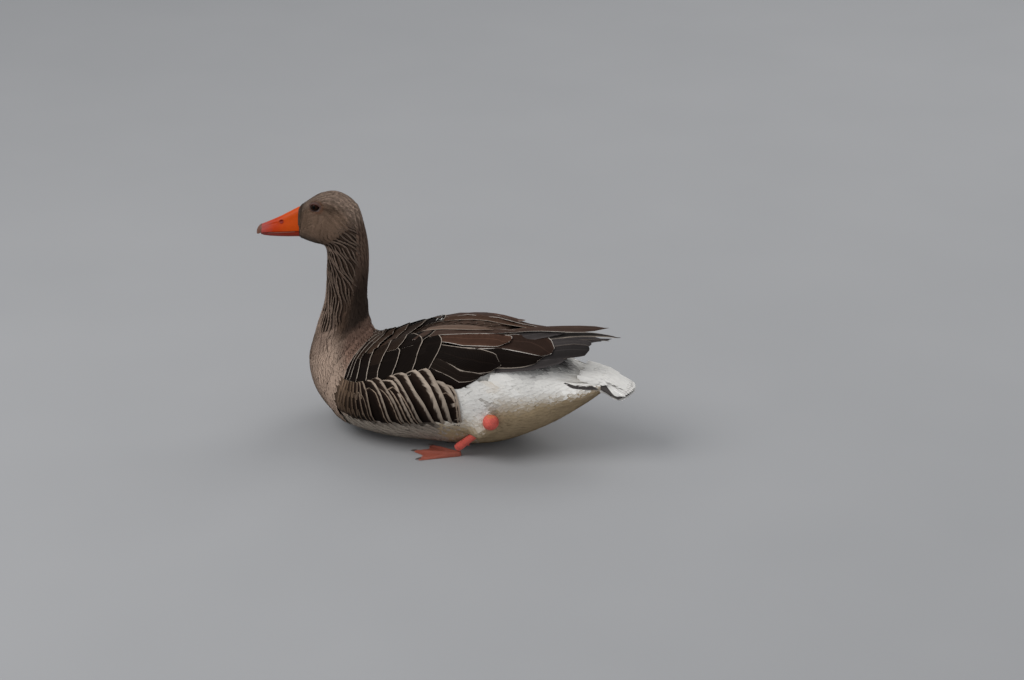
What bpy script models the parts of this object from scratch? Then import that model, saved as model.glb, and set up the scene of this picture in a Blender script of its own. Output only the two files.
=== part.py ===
"""Greylag-type domestic goose at rest, as a life-size still model.

The bird faces -X, with its left side towards -Y.  It sits on its belly and on the flat soles of
its feet, which are tucked under the flanks.  The body, neck and head are one lofted form, parted
by thin planes into nodes.  The wings lie on that form, and the legs lie in hollows cut into it.
"""
import math

import bmesh
import bpy
import numpy as np
from mathutils import Vector

# --- driving dimensions, in metres and degrees -----------------------------------------------
GAP = 0.0003                 # clearance between neighbouring pieces
CENTRE_X = 0.0052            # every piece is moved back by this, to centre the whole on x = 0
BODY_SEGMENTS = 14           # facets from the midline of the back to the midline of the belly
RINGS_PER_STATION = 3        # rings between two neighbouring body stations

HEAD_YAW = 12.0              # the head turns this far to the bird's left
HEAD_ROLL = 7.0              # and leans this far, left cheek up
HEAD_PIVOT_X = -0.145        # the turn is about a vertical line through the neck
HEAD_PIVOT_Z = 0.290
TURN_START, TURN_END = 12.0, 15.5        # body stations between which the turn grows

EYE_RADIUS = 0.0070
EYE_CENTRE = (-0.1915, 0.0135, 0.3385)   # in the unturned head: x, distance from midline, z

WING_GAP = 0.0006
WING_THICKNESS = 0.0090
WING_EDGE = 0.0016           # thickness along the front and lower edges
WING_REAR = 3.05             # station of the rear edge
WING_REAR_X = 0.0985         # the rear end is cut square here
WING_ROWS, WING_COLUMNS = 19, 9

# Tips of the flight feathers: x, distance from the midline, z.  The left wing lies over the right.
TERTIAL_TIPS = {"left": (0.2480, 0.0030, 0.1962), "right": (0.2350, 0.0095, 0.1735)}
PRIMARY_TIPS = {"left": (0.2645, 0.0080, 0.1870), "right": (0.2420, 0.0140, 0.1690)}
TERTIAL_SHARE = 0.55         # share of the wing's rear edge that carries the tertials

TAIL_LENGTH = 0.0430
TAIL_FALL = 0.0095           # the rear edge lies this much lower than the root
TAIL_BOW = 0.0150            # the corners of the fan end this far before its middle
TAIL_DROOP = 0.0030          # and this much lower
TAIL_HALF_WIDTH = 0.0340
TAIL_THICKNESS = 0.0024

ANKLE = (0.0975, 0.0870, 0.0655)
TOE_JOINT = (0.0420, 0.0750, 0.0118)
ANKLE_RADIUS = 0.0108
TARSUS_RADIUS = 0.0056
LEG_ROOM = 0.0006            # clearance of the hollow around a leg

TOE_LENGTHS = (0.058, 0.074, 0.066)      # inner, middle and outer toe
HEEL_REACH = 0.010           # the sole starts this far behind the toe joint
TOE_SPREAD = 22.0            # degrees between neighbouring toes
FOOT_TURN = 5.0              # degrees that the foot points outwards
TOE_THICKNESS = 0.0075
WEB_THICKNESS = 0.0022

# Body stations from the tail root to the bill root.  Each holds a point on the midline of the
# back (x, z), a point on the midline of the belly (x, z), the half width, the level of the
# widest place (-1 belly to 1 back) and the fullness of the section (2 is an ellipse).  The lower
# half of the section is leaner, by KEEL_FULLNESS.
KEEL_FULLNESS = 0.88
STATIONS = {
    "tail_root": (0.2450, 0.1275, 0.2450, 0.1030, 0.0310, 0.00, 2.1),
    "rump": (0.2030, 0.1250, 0.2180, 0.0790, 0.0490, 0.05, 2.2),
    "vent": (0.1550, 0.1460, 0.1680, 0.0420, 0.0670, -0.05, 2.2),
    "thigh": (0.1000, 0.1700, 0.1050, 0.0090, 0.0840, -0.08, 2.2),
    "loin": (0.0500, 0.1750, 0.0500, -0.0040, 0.0940, -0.05, 2.2),
    "back": (-0.0050, 0.1640, -0.0100, -0.0050, 0.1000, -0.05, 2.2),
    "shoulder": (-0.0600, 0.1440, -0.0750, -0.0040, 0.1010, -0.05, 2.2),
    "keel": (-0.1000, 0.1280, -0.1400, 0.0080, 0.0920, -0.05, 2.1),
    "crop": (-0.1170, 0.1340, -0.1900, 0.0460, 0.0780, -0.05, 2.0),
    "breast_front": (-0.1215, 0.1555, -0.2085, 0.0920, 0.0600, -0.05, 2.0),
    "neck_root": (-0.1210, 0.1800, -0.1990, 0.1420, 0.0430, 0.00, 2.0),
    "neck_low": (-0.1205, 0.2080, -0.1845, 0.1900, 0.0310, 0.05, 2.0),
    "neck_middle": (-0.1170, 0.2430, -0.1805, 0.2340, 0.0285, 0.05, 2.0),
    "neck_top": (-0.1165, 0.2770, -0.1785, 0.2660, 0.0280, 0.00, 2.0),
    "nape": (-0.1225, 0.3075, -0.1820, 0.2775, 0.0272, -0.05, 2.0),
    "cheek": (-0.1345, 0.3425, -0.1945, 0.2815, 0.0272, -0.10, 2.1),
    "crown": (-0.1600, 0.3590, -0.2070, 0.2855, 0.0248, -0.12, 2.2),
    "brow": (-0.1850, 0.3565, -0.2140, 0.2882, 0.0200, -0.10, 2.3),
    "forehead": (-0.2045, 0.3450, -0.2175, 0.2900, 0.0150, -0.10, 2.3),
    "bill_root": (-0.2182, 0.3350, -0.2182, 0.2908, 0.0125, -0.10, 2.3),
}
# Nodes along the body: name, first station and last station.
BODY_NODES = (
    ("vent", 0.0, 3.0),
    ("trunk", 3.0, 7.0),
    ("breast", 7.0, 10.0),
    ("neck_base", 10.0, 12.0),
    ("neck", 12.0, 14.3),
    ("head", 14.3, 19.0),
)
# Height of the wing's lower edge at body stations.
WING_LOW_EDGE = ((2.45, 0.150), (3.0, 0.138), (3.5, 0.125), (4.0, 0.118), (4.35, 0.125),
                 (4.8, 0.132), (5.3, 0.130), (6.0, 0.119), (6.5, 0.111), (7.1, 0.106), (7.6, 0.104))
# Station of the wing's front edge, from its top (0) to the lower edge (1).
WING_FRONT = ((0.0, 7.05), (0.12, 7.45), (0.3, 7.9), (0.5, 8.0), (0.68, 7.85), (0.85, 7.6), (1.0, 7.35))
WING_TOP_ANGLE = 7.0         # degrees between the midline of the back and the wing's upper edge
WING_TOP_DROP = 16.0         # further degrees at the front edge

COLOURS = {
    "grey_brown_feather": ((0.20, 0.16, 0.13), 0.80),
    "dark_feather": ((0.05, 0.04, 0.035), 0.70),
    "white_feather": ((0.75, 0.73, 0.68), 0.80),
    "orange_bill": ((0.80, 0.20, 0.03), 0.40),
    "pale_nail": ((0.62, 0.45, 0.36), 0.40),
    "coral_skin": ((0.72, 0.20, 0.13), 0.50),
    "dark_eye": ((0.02, 0.012, 0.01), 0.10),
}


# --- scene, materials and objects --------------------------------------------------------------
def clear_scene():
    for obj in list(bpy.data.objects):
        bpy.data.objects.remove(obj)


def make_collection(name):
    collection = bpy.data.collections.new(name)
    bpy.context.scene.collection.children.link(collection)
    return collection


def make_material(name):
    colour, roughness = COLOURS[name]
    material = bpy.data.materials.new(name)
    material.use_nodes = True
    shader = material.node_tree.nodes["Principled BSDF"]
    shader.inputs["Base Color"].default_value = (*colour, 1.0)
    shader.inputs["Roughness"].default_value = roughness
    shader.inputs["Metallic"].default_value = 0.0
    return material


def add_object(name, bm, collection, material):
    """Turn a closed bmesh into a smooth-shaded object."""
    bmesh.ops.recalc_face_normals(bm, faces=bm.faces)
    bmesh.ops.translate(bm, verts=bm.verts, vec=(-CENTRE_X, 0.0, 0.0))
    mesh = bpy.data.meshes.new(name)
    bm.to_mesh(mesh)
    bm.free()
    mesh.shade_smooth()
    mesh.set_sharp_from_angle(angle=math.radians(50))
    obj = bpy.data.objects.new(name, mesh)
    collection.objects.link(obj)
    if material is not None:
        mesh.materials.append(material)
    return obj


def loft(rings):
    """Closed bmesh through rings of equal length, with a flat cap at each end."""
    bm = bmesh.new()
    loops = [[bm.verts.new(point) for point in ring] for ring in rings]
    count = len(rings[0])
    for low, high in zip(loops, loops[1:]):
        for i in range(count):
            j = (i + 1) % count
            bm.faces.new((low[i], low[j], high[j], high[i]))
    bm.faces.new(loops[0])
    bm.faces.new(reversed(loops[-1]))
    return bm


def subtract(obj, cutter):
    modifier = obj.modifiers.new("cut_" + cutter.name, "BOOLEAN")
    modifier.operation = "DIFFERENCE"
    modifier.solver = "EXACT"
    modifier.object = cutter


def as_cutter(obj):
    obj.hide_render = True
    obj.display_type = "WIRE"
    return obj


# --- body surface ------------------------------------------------------------------------------
STATION_ROWS = np.array(list(STATIONS.values()))


def smoothstep(value):
    value = min(1.0, max(0.0, value))
    return value * value * (3.0 - 2.0 * value)


def station(t):
    """Catmull-Rom interpolation of the station rows at t, counted from the tail root."""
    last = len(STATION_ROWS) - 1
    i = min(int(t), last - 1)
    f = t - i
    p0, p1, p2, p3 = (STATION_ROWS[min(max(i + k, 0), last)] for k in (-1, 0, 1, 2))
    return 0.5 * (2 * p1 + (p2 - p0) * f + (2 * p0 - 5 * p1 + 4 * p2 - p3) * f ** 2
                  + (3 * p1 - p0 - 3 * p2 + p3) * f ** 3)


def section_angle(t, height):
    """Angle from the back at which the section at t is at the given height."""
    _, back_z, _, belly_z, _, widest, fullness = station(t)
    level = (height - 0.5 * (back_z + belly_z)) / (0.5 * (back_z - belly_z))
    low, high = -1.0, 1.0
    for _ in range(40):
        h = 0.5 * (low + high)
        if h + widest * (1 - h * h) < level:
            low = h
        else:
            high = h
    return math.acos(math.copysign(abs(h) ** (fullness / 2), h))


def turn_head(point, amount=1.0):
    """Roll and yaw a point of the unturned head by a share of the full turn."""
    roll = math.radians(HEAD_ROLL) * amount
    yaw = math.radians(HEAD_YAW) * amount
    x = point[0] - HEAD_PIVOT_X
    z = point[2] - HEAD_PIVOT_Z
    y = point[1] * math.cos(roll) + z * math.sin(roll)
    z = z * math.cos(roll) - point[1] * math.sin(roll)
    turned_x = x * math.cos(yaw) - y * math.sin(yaw)
    turned_y = x * math.sin(yaw) + y * math.cos(yaw)
    return Vector((HEAD_PIVOT_X + turned_x, turned_y, HEAD_PIVOT_Z + z))


def body_point(t, angle):
    """Point of the body surface: angle 0 is the back, pi the belly, positive is the right."""
    back_x, back_z, belly_x, belly_z, width, widest, fullness = station(t)
    c = math.cos(angle)
    s = math.sin(angle)
    lower = smoothstep(-c / 0.5)
    power = 2.0 / (fullness * (1.0 + (KEEL_FULLNESS - 1.0) * lower))
    h = math.copysign(abs(c) ** power, c)
    h = h + widest * (1 - h * h)
    y = math.copysign(abs(s) ** power, s) * width
    x = 0.5 * (back_x + belly_x) + 0.5 * (back_x - belly_x) * h
    z = 0.5 * (back_z + belly_z) + 0.5 * (back_z - belly_z) * h
    if t < TURN_START:
        return Vector((x, y, max(z, 0.0)))
    return turn_head((x, y, z), smoothstep((t - TURN_START) / (TURN_END - TURN_START)))


def body_normal(t, angle):
    step = 0.02
    along = body_point(t + step, angle) - body_point(t - step, angle)
    around = body_point(t, angle + step) - body_point(t, angle - step)
    return around.cross(along).normalized()


def body_ring(t, shift=0.0):
    """One ring of the body, moved by shift along the station's own axis."""
    count = 2 * BODY_SEGMENTS
    ring = [body_point(t, 2 * math.pi * i / count) for i in range(count)]
    axis = (ring[BODY_SEGMENTS // 2] - ring[0]).cross(ring[BODY_SEGMENTS] - ring[0]).normalized()
    return [point + axis * shift for point in ring]


def build_body_node(first, last):
    steps = max(2, round((last - first) * RINGS_PER_STATION))
    times = np.linspace(first, last, steps + 1)
    rings = [body_ring(t) for t in times]
    forward = (rings[1][0] + rings[1][BODY_SEGMENTS]) - (rings[0][0] + rings[0][BODY_SEGMENTS])
    axis = (rings[0][BODY_SEGMENTS // 2] - rings[0][0]).cross(rings[0][BODY_SEGMENTS] - rings[0][0])
    sign = 1.0 if axis.dot(forward) > 0 else -1.0
    rings[0] = body_ring(times[0], sign * GAP / 2)
    rings[-1] = body_ring(times[-1], -sign * GAP / 2)
    return loft(rings)


# --- wings ---------------------------------------------------------------------------------------
def wing_low_edge(t):
    stations, heights = zip(*WING_LOW_EDGE)
    return float(np.interp(t, stations, heights))


def wing_point(u, v, outer, side):
    """u runs from the shoulder to the rear edge, v from the back to the lower edge."""
    shares, fronts = zip(*WING_FRONT)
    front = float(np.interp(v, shares, fronts))
    t = front + (WING_REAR - front) * u
    top = math.radians(WING_TOP_ANGLE + WING_TOP_DROP * (1.0 - smoothstep(u / 0.30)))
    low = section_angle(t, wing_low_edge(t))
    angle = top + (low - top) * v
    body = smoothstep(u / 0.35)
    lower = smoothstep((1.0 - v) / 0.45)
    thickness = WING_EDGE + (WING_THICKNESS - WING_EDGE) * body * lower
    offset = WING_GAP + (thickness if outer else 0.0)
    point = body_point(t, angle) + body_normal(t, angle) * offset
    if u == 1.0:
        point.x = WING_REAR_X
    return Vector((point.x, side * abs(point.y), point.z))


def build_wing(side):
    rings = []
    for row in range(WING_ROWS):
        u = row / (WING_ROWS - 1)
        columns = [c / (WING_COLUMNS - 1) for c in range(WING_COLUMNS)]
        inner = [wing_point(u, v, False, side) for v in columns]
        outer = [wing_point(u, v, True, side) for v in reversed(columns)]
        rings.append(inner + outer)
    return loft(rings)


def build_flight_blade(side, first, last, tip, anchor, arch):
    """Overlapping flight feathers as one blade from the wing's rear edge to their tips.

    The edge that anchor names (0 upper, -1 lower) runs straight to the tip, and the other edge
    closes in on it.
    """
    columns = [first + (last - first) * c / 5 for c in range(6)]
    inner = [wing_point(1.0, v, False, side) for v in columns]
    outer = [wing_point(1.0, v, True, side) for v in columns]
    middles = [0.5 * (a + b) for a, b in zip(inner, outer)]
    halves = [0.5 * (b - a) for a, b in zip(inner, outer)]
    root = middles[anchor]
    tip_point = Vector((tip[0], side * tip[1], tip[2]))
    rings = []
    for share in (0.0, 0.15, 0.3, 0.45, 0.6, 0.72, 0.83, 0.92, 0.97, 1.0):
        centre = root.lerp(tip_point, share)
        centre.z += arch * 4 * share * (1 - share)
        centre.x += GAP
        wide = 0.04 + 0.96 * (1.0 - share ** 3.0)
        thick = 0.14 + 0.86 * (1.0 - share) ** 0.8
        low = [centre + (m - root) * wide - h * thick for m, h in zip(middles, halves)]
        high = [centre + (m - root) * wide + h * thick for m, h in zip(middles, halves)]
        rings.append(low + high[::-1])
    return loft(rings)


# --- tail ----------------------------------------------------------------------------------------
def build_tail():
    """Fan of tail feathers that continues the body from the tail root to a thin rounded edge."""
    root_x, root_top, _, root_low, root_width, _, _ = STATIONS["tail_root"]
    rings = []
    for share in (0.0, 0.25, 0.5, 0.75, 0.92, 1.0):
        width = root_width + (TAIL_HALF_WIDTH - root_width) * smoothstep(share * 1.4)
        height = TAIL_THICKNESS + (root_top - root_low - TAIL_THICKNESS) * (1 - share) ** 1.8
        middle = 0.5 * (root_top + root_low) - TAIL_FALL * share
        ring = []
        for i in range(20):
            angle = 2 * math.pi * i / 20
            y = math.sin(angle) * (width - (0.0015 if share == 0.0 else 0.0))
            z = math.cos(angle) * 0.5 * (height - (0.0010 if share == 0.0 else 0.0))
            bow = TAIL_BOW * (y / width) ** 2 * share
            x = root_x + GAP + (TAIL_LENGTH + 0.0002) * share - bow
            droop = TAIL_DROOP * (y / width) ** 2 * share
            ring.append(Vector((x, y, middle + z - droop)))
        rings.append(ring)
    return loft(rings)


# --- bill and eyes -------------------------------------------------------------------------------
# Sections from the bill root to the tip: x, top, bottom and half width.
UPPER_BILL = ((-0.2185, 0.3346, 0.3015, 0.0122), (-0.2310, 0.3276, 0.3002, 0.0118),
              (-0.2440, 0.3204, 0.2992, 0.0110), (-0.2570, 0.3142, 0.2982, 0.0103),
              (-0.2670, 0.3098, 0.2970, 0.0096), (-0.2720, 0.3078, 0.2962, 0.0090))
NAIL = ((-0.2723, 0.3077, 0.2961, 0.0086), (-0.2755, 0.3060, 0.2948, 0.0076),
        (-0.2785, 0.3030, 0.2940, 0.0056), (-0.2800, 0.2998, 0.2942, 0.0030))
LOWER_BILL = ((-0.2185, 0.3009, 0.2908, 0.0105), (-0.2330, 0.2993, 0.2902, 0.0098),
              (-0.2480, 0.2979, 0.2900, 0.0090), (-0.2600, 0.2969, 0.2902, 0.0080),
              (-0.2690, 0.2956, 0.2908, 0.0062), (-0.2740, 0.2947, 0.2918, 0.0035))


def build_bill_piece(sections, fullness, flat_side):
    """Loft through upright oval sections; flat_side -1 flattens the underside, 1 the top."""
    rings = []
    for x, top, bottom, width in sections:
        ring = []
        for i in range(16):
            angle = 2 * math.pi * (i + 0.5) / 16
            c = math.cos(angle)
            s = math.sin(angle)
            h = math.copysign(abs(c) ** (2 / fullness), c)
            y = math.copysign(abs(s) ** (2 / fullness), s) * width
            if c * flat_side > 0:
                z = 0.5 * (top + bottom) + 0.5 * (top - bottom) * math.copysign(1.0, c)
                y *= 0.97
            else:
                base = bottom if flat_side < 0 else top
                z = base + (top - bottom) * abs(h) * (1.0 if flat_side < 0 else -1.0)
            ring.append(turn_head((x, y, z)))
        rings.append(ring)
    return loft(rings)


def eye_place(side):
    x, y, z = EYE_CENTRE
    return turn_head((x, side * y, z))


def build_ball(centre, radius):
    bm = bmesh.new()
    bmesh.ops.create_uvsphere(bm, u_segments=14, v_segments=10, radius=radius)
    bmesh.ops.translate(bm, verts=bm.verts, vec=centre)
    return bm


# --- legs and feet -------------------------------------------------------------------------------
def build_leg(side, extra=0.0):
    """Ankle knob and tarsus, round in section, from behind the ankle down to the toe joint."""
    ankle = Vector((ANKLE[0], side * ANKLE[1], ANKLE[2]))
    joint = Vector((TOE_JOINT[0], side * TOE_JOINT[1], TOE_JOINT[2]))
    axis = (joint - ankle).normalized()
    length = (joint - ankle).length
    sideways = Vector((0.0, 1.0, 0.0))
    sideways = (sideways - axis * sideways.dot(axis)).normalized()
    upward = axis.cross(sideways).normalized()
    profile = []
    for degrees in (-78, -55, -30, -5, 22, 45):
        angle = math.radians(degrees)
        profile.append((ANKLE_RADIUS * math.sin(angle), ANKLE_RADIUS * math.cos(angle)))
    profile += [(0.020, TARSUS_RADIUS * 1.12), (0.036, TARSUS_RADIUS), (length - 0.018, TARSUS_RADIUS),
                (length - 0.008, TARSUS_RADIUS * 1.12), (length - 0.001, TARSUS_RADIUS * 1.05)]
    rings = []
    for place, radius in profile:
        ring = []
        reach = place + (extra if place > 0.05 else -extra if place < 0 else 0.0)
        for i in range(14):
            angle = 2 * math.pi * i / 14
            flat = 0.85 if place > 0.015 else 0.92
            spoke = sideways * math.cos(angle) * flat + upward * math.sin(angle)
            ring.append(ankle + axis * reach + spoke * (radius + extra))
        rings.append(ring)
    return loft(rings)


def foot_height(distance, across):
    """Height of the foot's upper side: ridges along three toes, and the web between them."""
    nearest = min(abs(across - toe) for toe in (0.0, 0.5, 1.0))
    ridge = math.exp(-(nearest * (0.35 + 2.2 * distance) / 0.115) ** 2)
    toe = TOE_THICKNESS * (1.0 - 0.62 * distance)
    return WEB_THICKNESS * (1 - 0.3 * distance) + (toe - WEB_THICKNESS) * ridge


def build_foot(side):
    """Webbed foot with a flat sole: a fan of spokes from the toe joint to a scalloped edge."""
    heel = Vector((TOE_JOINT[0] + HEEL_REACH, side * TOE_JOINT[1], 0.0))
    spokes = 17
    steps = (0.10, 0.22, 0.40, 0.60, 0.80, 1.0)
    rings = []
    for level in ("low", "high"):
        grid = []
        for i in range(spokes):
            across = i / (spokes - 1)
            reach = np.interp(across, (0.0, 0.5, 1.0), TOE_LENGTHS)
            scallop = 1.0 - 0.13 * math.sin(2 * math.pi * across) ** 2
            turn = math.radians((across - 0.5) * 2 * TOE_SPREAD + FOOT_TURN)
            direction = Vector((-math.cos(turn), side * math.sin(turn), 0.0))
            row = []
            for distance in steps:
                place = heel + direction * reach * scallop * distance
                place.z = 0.0 if level == "low" else foot_height(distance, across)
                row.append(place)
            grid.append(row)
        rings.append(grid)
    bm = bmesh.new()
    low = [[bm.verts.new(p) for p in row] for row in rings[0]]
    high = [[bm.verts.new(p) for p in row] for row in rings[1]]
    for grid in (low, high):
        for first, second in zip(grid, grid[1:]):
            for j in range(len(steps) - 1):
                bm.faces.new((first[j], first[j + 1], second[j + 1], second[j]))
    border = [(i, 0) for i in range(spokes)]
    border += [(spokes - 1, j) for j in range(1, len(steps))]
    border += [(i, len(steps) - 1) for i in range(spokes - 2, -1, -1)]
    border += [(0, j) for j in range(len(steps) - 2, 0, -1)]
    for (i, j), (k, m) in zip(border, border[1:] + border[:1]):
        bm.faces.new((low[i][j], low[k][m], high[k][m], high[i][j]))
    return bm


# --- assembly ------------------------------------------------------------------------------------
def main():
    clear_scene()
    goose = make_collection("goose")
    cutters = make_collection("cutters")
    materials = {name: make_material(name) for name in COLOURS}
    coats = {"vent": "white_feather"}

    body = {}
    for name, first, last in BODY_NODES:
        coat = materials[coats.get(name, "grey_brown_feather")]
        body[name] = add_object(name, build_body_node(first, last), goose, coat)

    add_object("tail", build_tail(), goose, materials["white_feather"])
    orange = materials["orange_bill"]
    add_object("bill_upper", build_bill_piece(UPPER_BILL, 2.0, -1), goose, orange)
    add_object("bill_lower", build_bill_piece(LOWER_BILL, 2.2, 1), goose, orange)
    add_object("bill_nail", build_bill_piece(NAIL, 2.0, -1), goose, materials["pale_nail"])

    for side, word in ((-1.0, "left"), (1.0, "right")):
        dark = materials["dark_feather"]
        add_object("wing_" + word, build_wing(side), goose, dark)
        tertials = build_flight_blade(side, 0.0, TERTIAL_SHARE, TERTIAL_TIPS[word], -1, -0.001)
        add_object("tertials_" + word, tertials, goose, dark)
        primaries = build_flight_blade(side, TERTIAL_SHARE + 0.02, 1.0, PRIMARY_TIPS[word], 0, -0.004)
        add_object("primaries_" + word, primaries, goose, dark)

        add_object("eye_" + word, build_ball(eye_place(side), EYE_RADIUS), goose, materials["dark_eye"])
        socket = add_object("socket_" + word, build_ball(eye_place(side), EYE_RADIUS + GAP), cutters, None)
        subtract(body["head"], as_cutter(socket))

        add_object("leg_" + word, build_leg(side), goose, materials["coral_skin"])
        room = add_object("leg_room_" + word, build_leg(side, LEG_ROOM), cutters, None)
        for name in ("vent", "trunk"):
            subtract(body[name], as_cutter(room))
        add_object("foot_" + word, build_foot(side), goose, materials["coral_skin"])


main()
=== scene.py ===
"""Looks of a resting domestic goose: skin, feathers, bill, eyes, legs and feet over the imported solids."""
import math

import bmesh
import bpy
import numpy as np
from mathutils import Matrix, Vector


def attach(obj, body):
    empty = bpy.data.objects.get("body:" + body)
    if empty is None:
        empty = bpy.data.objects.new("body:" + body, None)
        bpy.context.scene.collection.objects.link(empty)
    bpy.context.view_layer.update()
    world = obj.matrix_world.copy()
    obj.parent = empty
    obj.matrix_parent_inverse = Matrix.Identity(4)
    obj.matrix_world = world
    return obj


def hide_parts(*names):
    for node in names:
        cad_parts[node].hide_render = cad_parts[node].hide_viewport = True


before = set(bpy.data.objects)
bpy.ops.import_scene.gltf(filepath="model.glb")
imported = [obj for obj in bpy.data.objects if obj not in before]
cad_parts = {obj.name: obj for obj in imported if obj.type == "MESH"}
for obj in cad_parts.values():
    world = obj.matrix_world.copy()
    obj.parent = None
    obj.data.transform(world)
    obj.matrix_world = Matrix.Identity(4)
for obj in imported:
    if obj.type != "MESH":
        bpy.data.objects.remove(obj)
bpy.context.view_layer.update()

# --- measures, in metres: the body's stations as in the solids ------------------------------------
CENTRE_X = 0.0052
# back x, back z, belly x, belly z, half width, height of the widest part, fullness
STATIONS = np.array((
    (0.2450, 0.1275, 0.2450, 0.1030, 0.0310, 0.00, 2.1),      # tail root
    (0.2030, 0.1250, 0.2180, 0.0790, 0.0490, 0.05, 2.2),
    (0.1550, 0.1460, 0.1680, 0.0420, 0.0670, -0.05, 2.2),
    (0.1000, 0.1700, 0.1050, 0.0090, 0.0840, -0.08, 2.2),     # thigh
    (0.0500, 0.1750, 0.0500, -0.0040, 0.0940, -0.05, 2.2),
    (-0.0050, 0.1640, -0.0100, -0.0050, 0.1000, -0.05, 2.2),
    (-0.0600, 0.1440, -0.0750, -0.0040, 0.1010, -0.05, 2.2),
    (-0.1000, 0.1280, -0.1400, 0.0080, 0.0920, -0.05, 2.1),   # keel
    (-0.1170, 0.1340, -0.1900, 0.0460, 0.0780, -0.05, 2.0),
    (-0.1215, 0.1555, -0.2085, 0.0920, 0.0600, -0.05, 2.0),
    (-0.1210, 0.1800, -0.1990, 0.1420, 0.0430, 0.00, 2.0),    # neck root
    (-0.1205, 0.2080, -0.1845, 0.1900, 0.0310, 0.05, 2.0),
    (-0.1170, 0.2430, -0.1805, 0.2340, 0.0285, 0.05, 2.0),
    (-0.1165, 0.2770, -0.1785, 0.2660, 0.0280, 0.00, 2.0),
    (-0.1225, 0.3075, -0.1820, 0.2775, 0.0272, -0.05, 2.0),   # nape
    (-0.1345, 0.3425, -0.1945, 0.2815, 0.0272, -0.10, 2.1),
    (-0.1600, 0.3590, -0.2070, 0.2855, 0.0248, -0.12, 2.2),
    (-0.1850, 0.3565, -0.2140, 0.2882, 0.0200, -0.10, 2.3),
    (-0.2045, 0.3450, -0.2175, 0.2900, 0.0150, -0.10, 2.3),
    (-0.2182, 0.3350, -0.2182, 0.2908, 0.0125, -0.10, 2.3),   # bill root
))
LAST = len(STATIONS) - 1
KEEL_FULLNESS = 0.88
HEAD_YAW, HEAD_ROLL = math.radians(12.0), math.radians(7.0)
HEAD_PIVOT = (-0.145, 0.290)
TURN_START, TURN_END = 12.0, 15.5
WING_GAP, WING_THICKNESS, WING_EDGE, WING_REAR = 0.0006, 0.0090, 0.0016, 3.05
WING_TOP, WING_TOP_FRONT = 7.0, 16.0             # degrees from the back, and how much further at the front
WING_LOW_EDGE = ((2.45, 0.150), (3.0, 0.138), (3.5, 0.125), (4.0, 0.118), (4.35, 0.125),
                 (4.8, 0.132), (5.3, 0.130), (6.0, 0.119), (6.5, 0.111), (7.1, 0.106), (7.6, 0.104))
WING_FRONT = ((0.0, 7.05), (0.12, 7.45), (0.3, 7.9), (0.5, 8.0), (0.68, 7.85), (0.85, 7.6), (1.0, 7.35))
SHOULDER_STATION, SHOULDER_ANGLE, SHOULDER_HEIGHT = 7.2, math.radians(30.0), 0.0036
FLOOR_CLEARANCE = 0.0002
EYE = (-0.1915, 0.0135, 0.3385)      # centre in the unturned head: x, distance from the midline, z
EYE_RADIUS = 0.0070
SIDE_NAMES = {-1: "left", 1: "right"}
SLOPE_STEP = 0.02                    # in stations and in radians


# --- the body's surface: t counts stations from the tail root, a is the angle from the back -------
def smooth(value):
    """0 up to 0 and 1 from 1 on, with a soft rise between."""
    value = np.clip(value, 0.0, 1.0)
    return value * value * (3.0 - 2.0 * value)


def hump(value, centre, width):
    """1 at the centre, falling away on both sides."""
    return np.exp(-((value - centre) / width) ** 2)


def from_back(a):
    """Angle from the back, the same on both sides."""
    return np.abs((a + math.pi) % (2 * math.pi) - math.pi)


def degrees_side(a):
    return np.degrees(from_back(a))


def station(t):
    """The measures of STATIONS at any place, on a smooth curve through them."""
    t = np.asarray(t, float)
    i = np.clip(t.astype(int), 0, LAST - 1)
    f = (t - i)[..., None]
    p0, p1, p2, p3 = (STATIONS[np.clip(i + k, 0, LAST)] for k in (-1, 0, 1, 2))
    rows = 0.5 * (2 * p1 + (p2 - p0) * f + (2 * p0 - 5 * p1 + 4 * p2 - p3) * f ** 2
                  + (3 * p1 - p0 - 3 * p2 + p3) * f ** 3)
    return np.moveaxis(rows, -1, 0)


def turn_head(points, amount=1.0):
    """Roll and yaw points of the unturned head, by a share of the full turn."""
    points = np.asarray(points, float)
    roll, yaw = HEAD_ROLL * amount, HEAD_YAW * amount
    x = points[..., 0] - HEAD_PIVOT[0]
    z = points[..., 2] - HEAD_PIVOT[1]
    y = points[..., 1] * np.cos(roll) + z * np.sin(roll)
    z = z * np.cos(roll) - points[..., 1] * np.sin(roll)
    return np.stack((HEAD_PIVOT[0] + x * np.cos(yaw) - y * np.sin(yaw) - CENTRE_X,
                     x * np.sin(yaw) + y * np.cos(yaw), HEAD_PIVOT[1] + z), -1)


def surface(t, a):
    """Point of the solids' outline."""
    back_x, back_z, belly_x, belly_z, width, widest, fullness = station(t)
    c, s = np.cos(a), np.sin(a)
    power = 2.0 / (fullness * (1.0 + (KEEL_FULLNESS - 1.0) * smooth(-c / 0.5)))
    h = np.sign(c) * np.abs(c) ** power
    h = h + widest * (1 - h * h)
    y = np.sign(s) * np.abs(s) ** power * width
    x = 0.5 * (back_x + belly_x) + 0.5 * (back_x - belly_x) * h
    z = 0.5 * (back_z + belly_z) + 0.5 * (back_z - belly_z) * h
    z = np.where(t < TURN_START, np.maximum(z, 0.0), z)
    return turn_head(np.stack((x, y, z), -1), smooth((t - TURN_START) / (TURN_END - TURN_START)))


def slopes(t, a):
    """How the surface's point moves along the body and around it, for one station and one radian."""
    along = (surface(t + SLOPE_STEP, a) - surface(t - SLOPE_STEP, a)) / (2 * SLOPE_STEP)
    around = (surface(t, a + SLOPE_STEP) - surface(t, a - SLOPE_STEP)) / (2 * SLOPE_STEP)
    return along, around


def outward(t, a):
    along, around = slopes(t, a)
    n = np.cross(around, along)
    return n / np.linalg.norm(n, axis=-1, keepdims=True)


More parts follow.
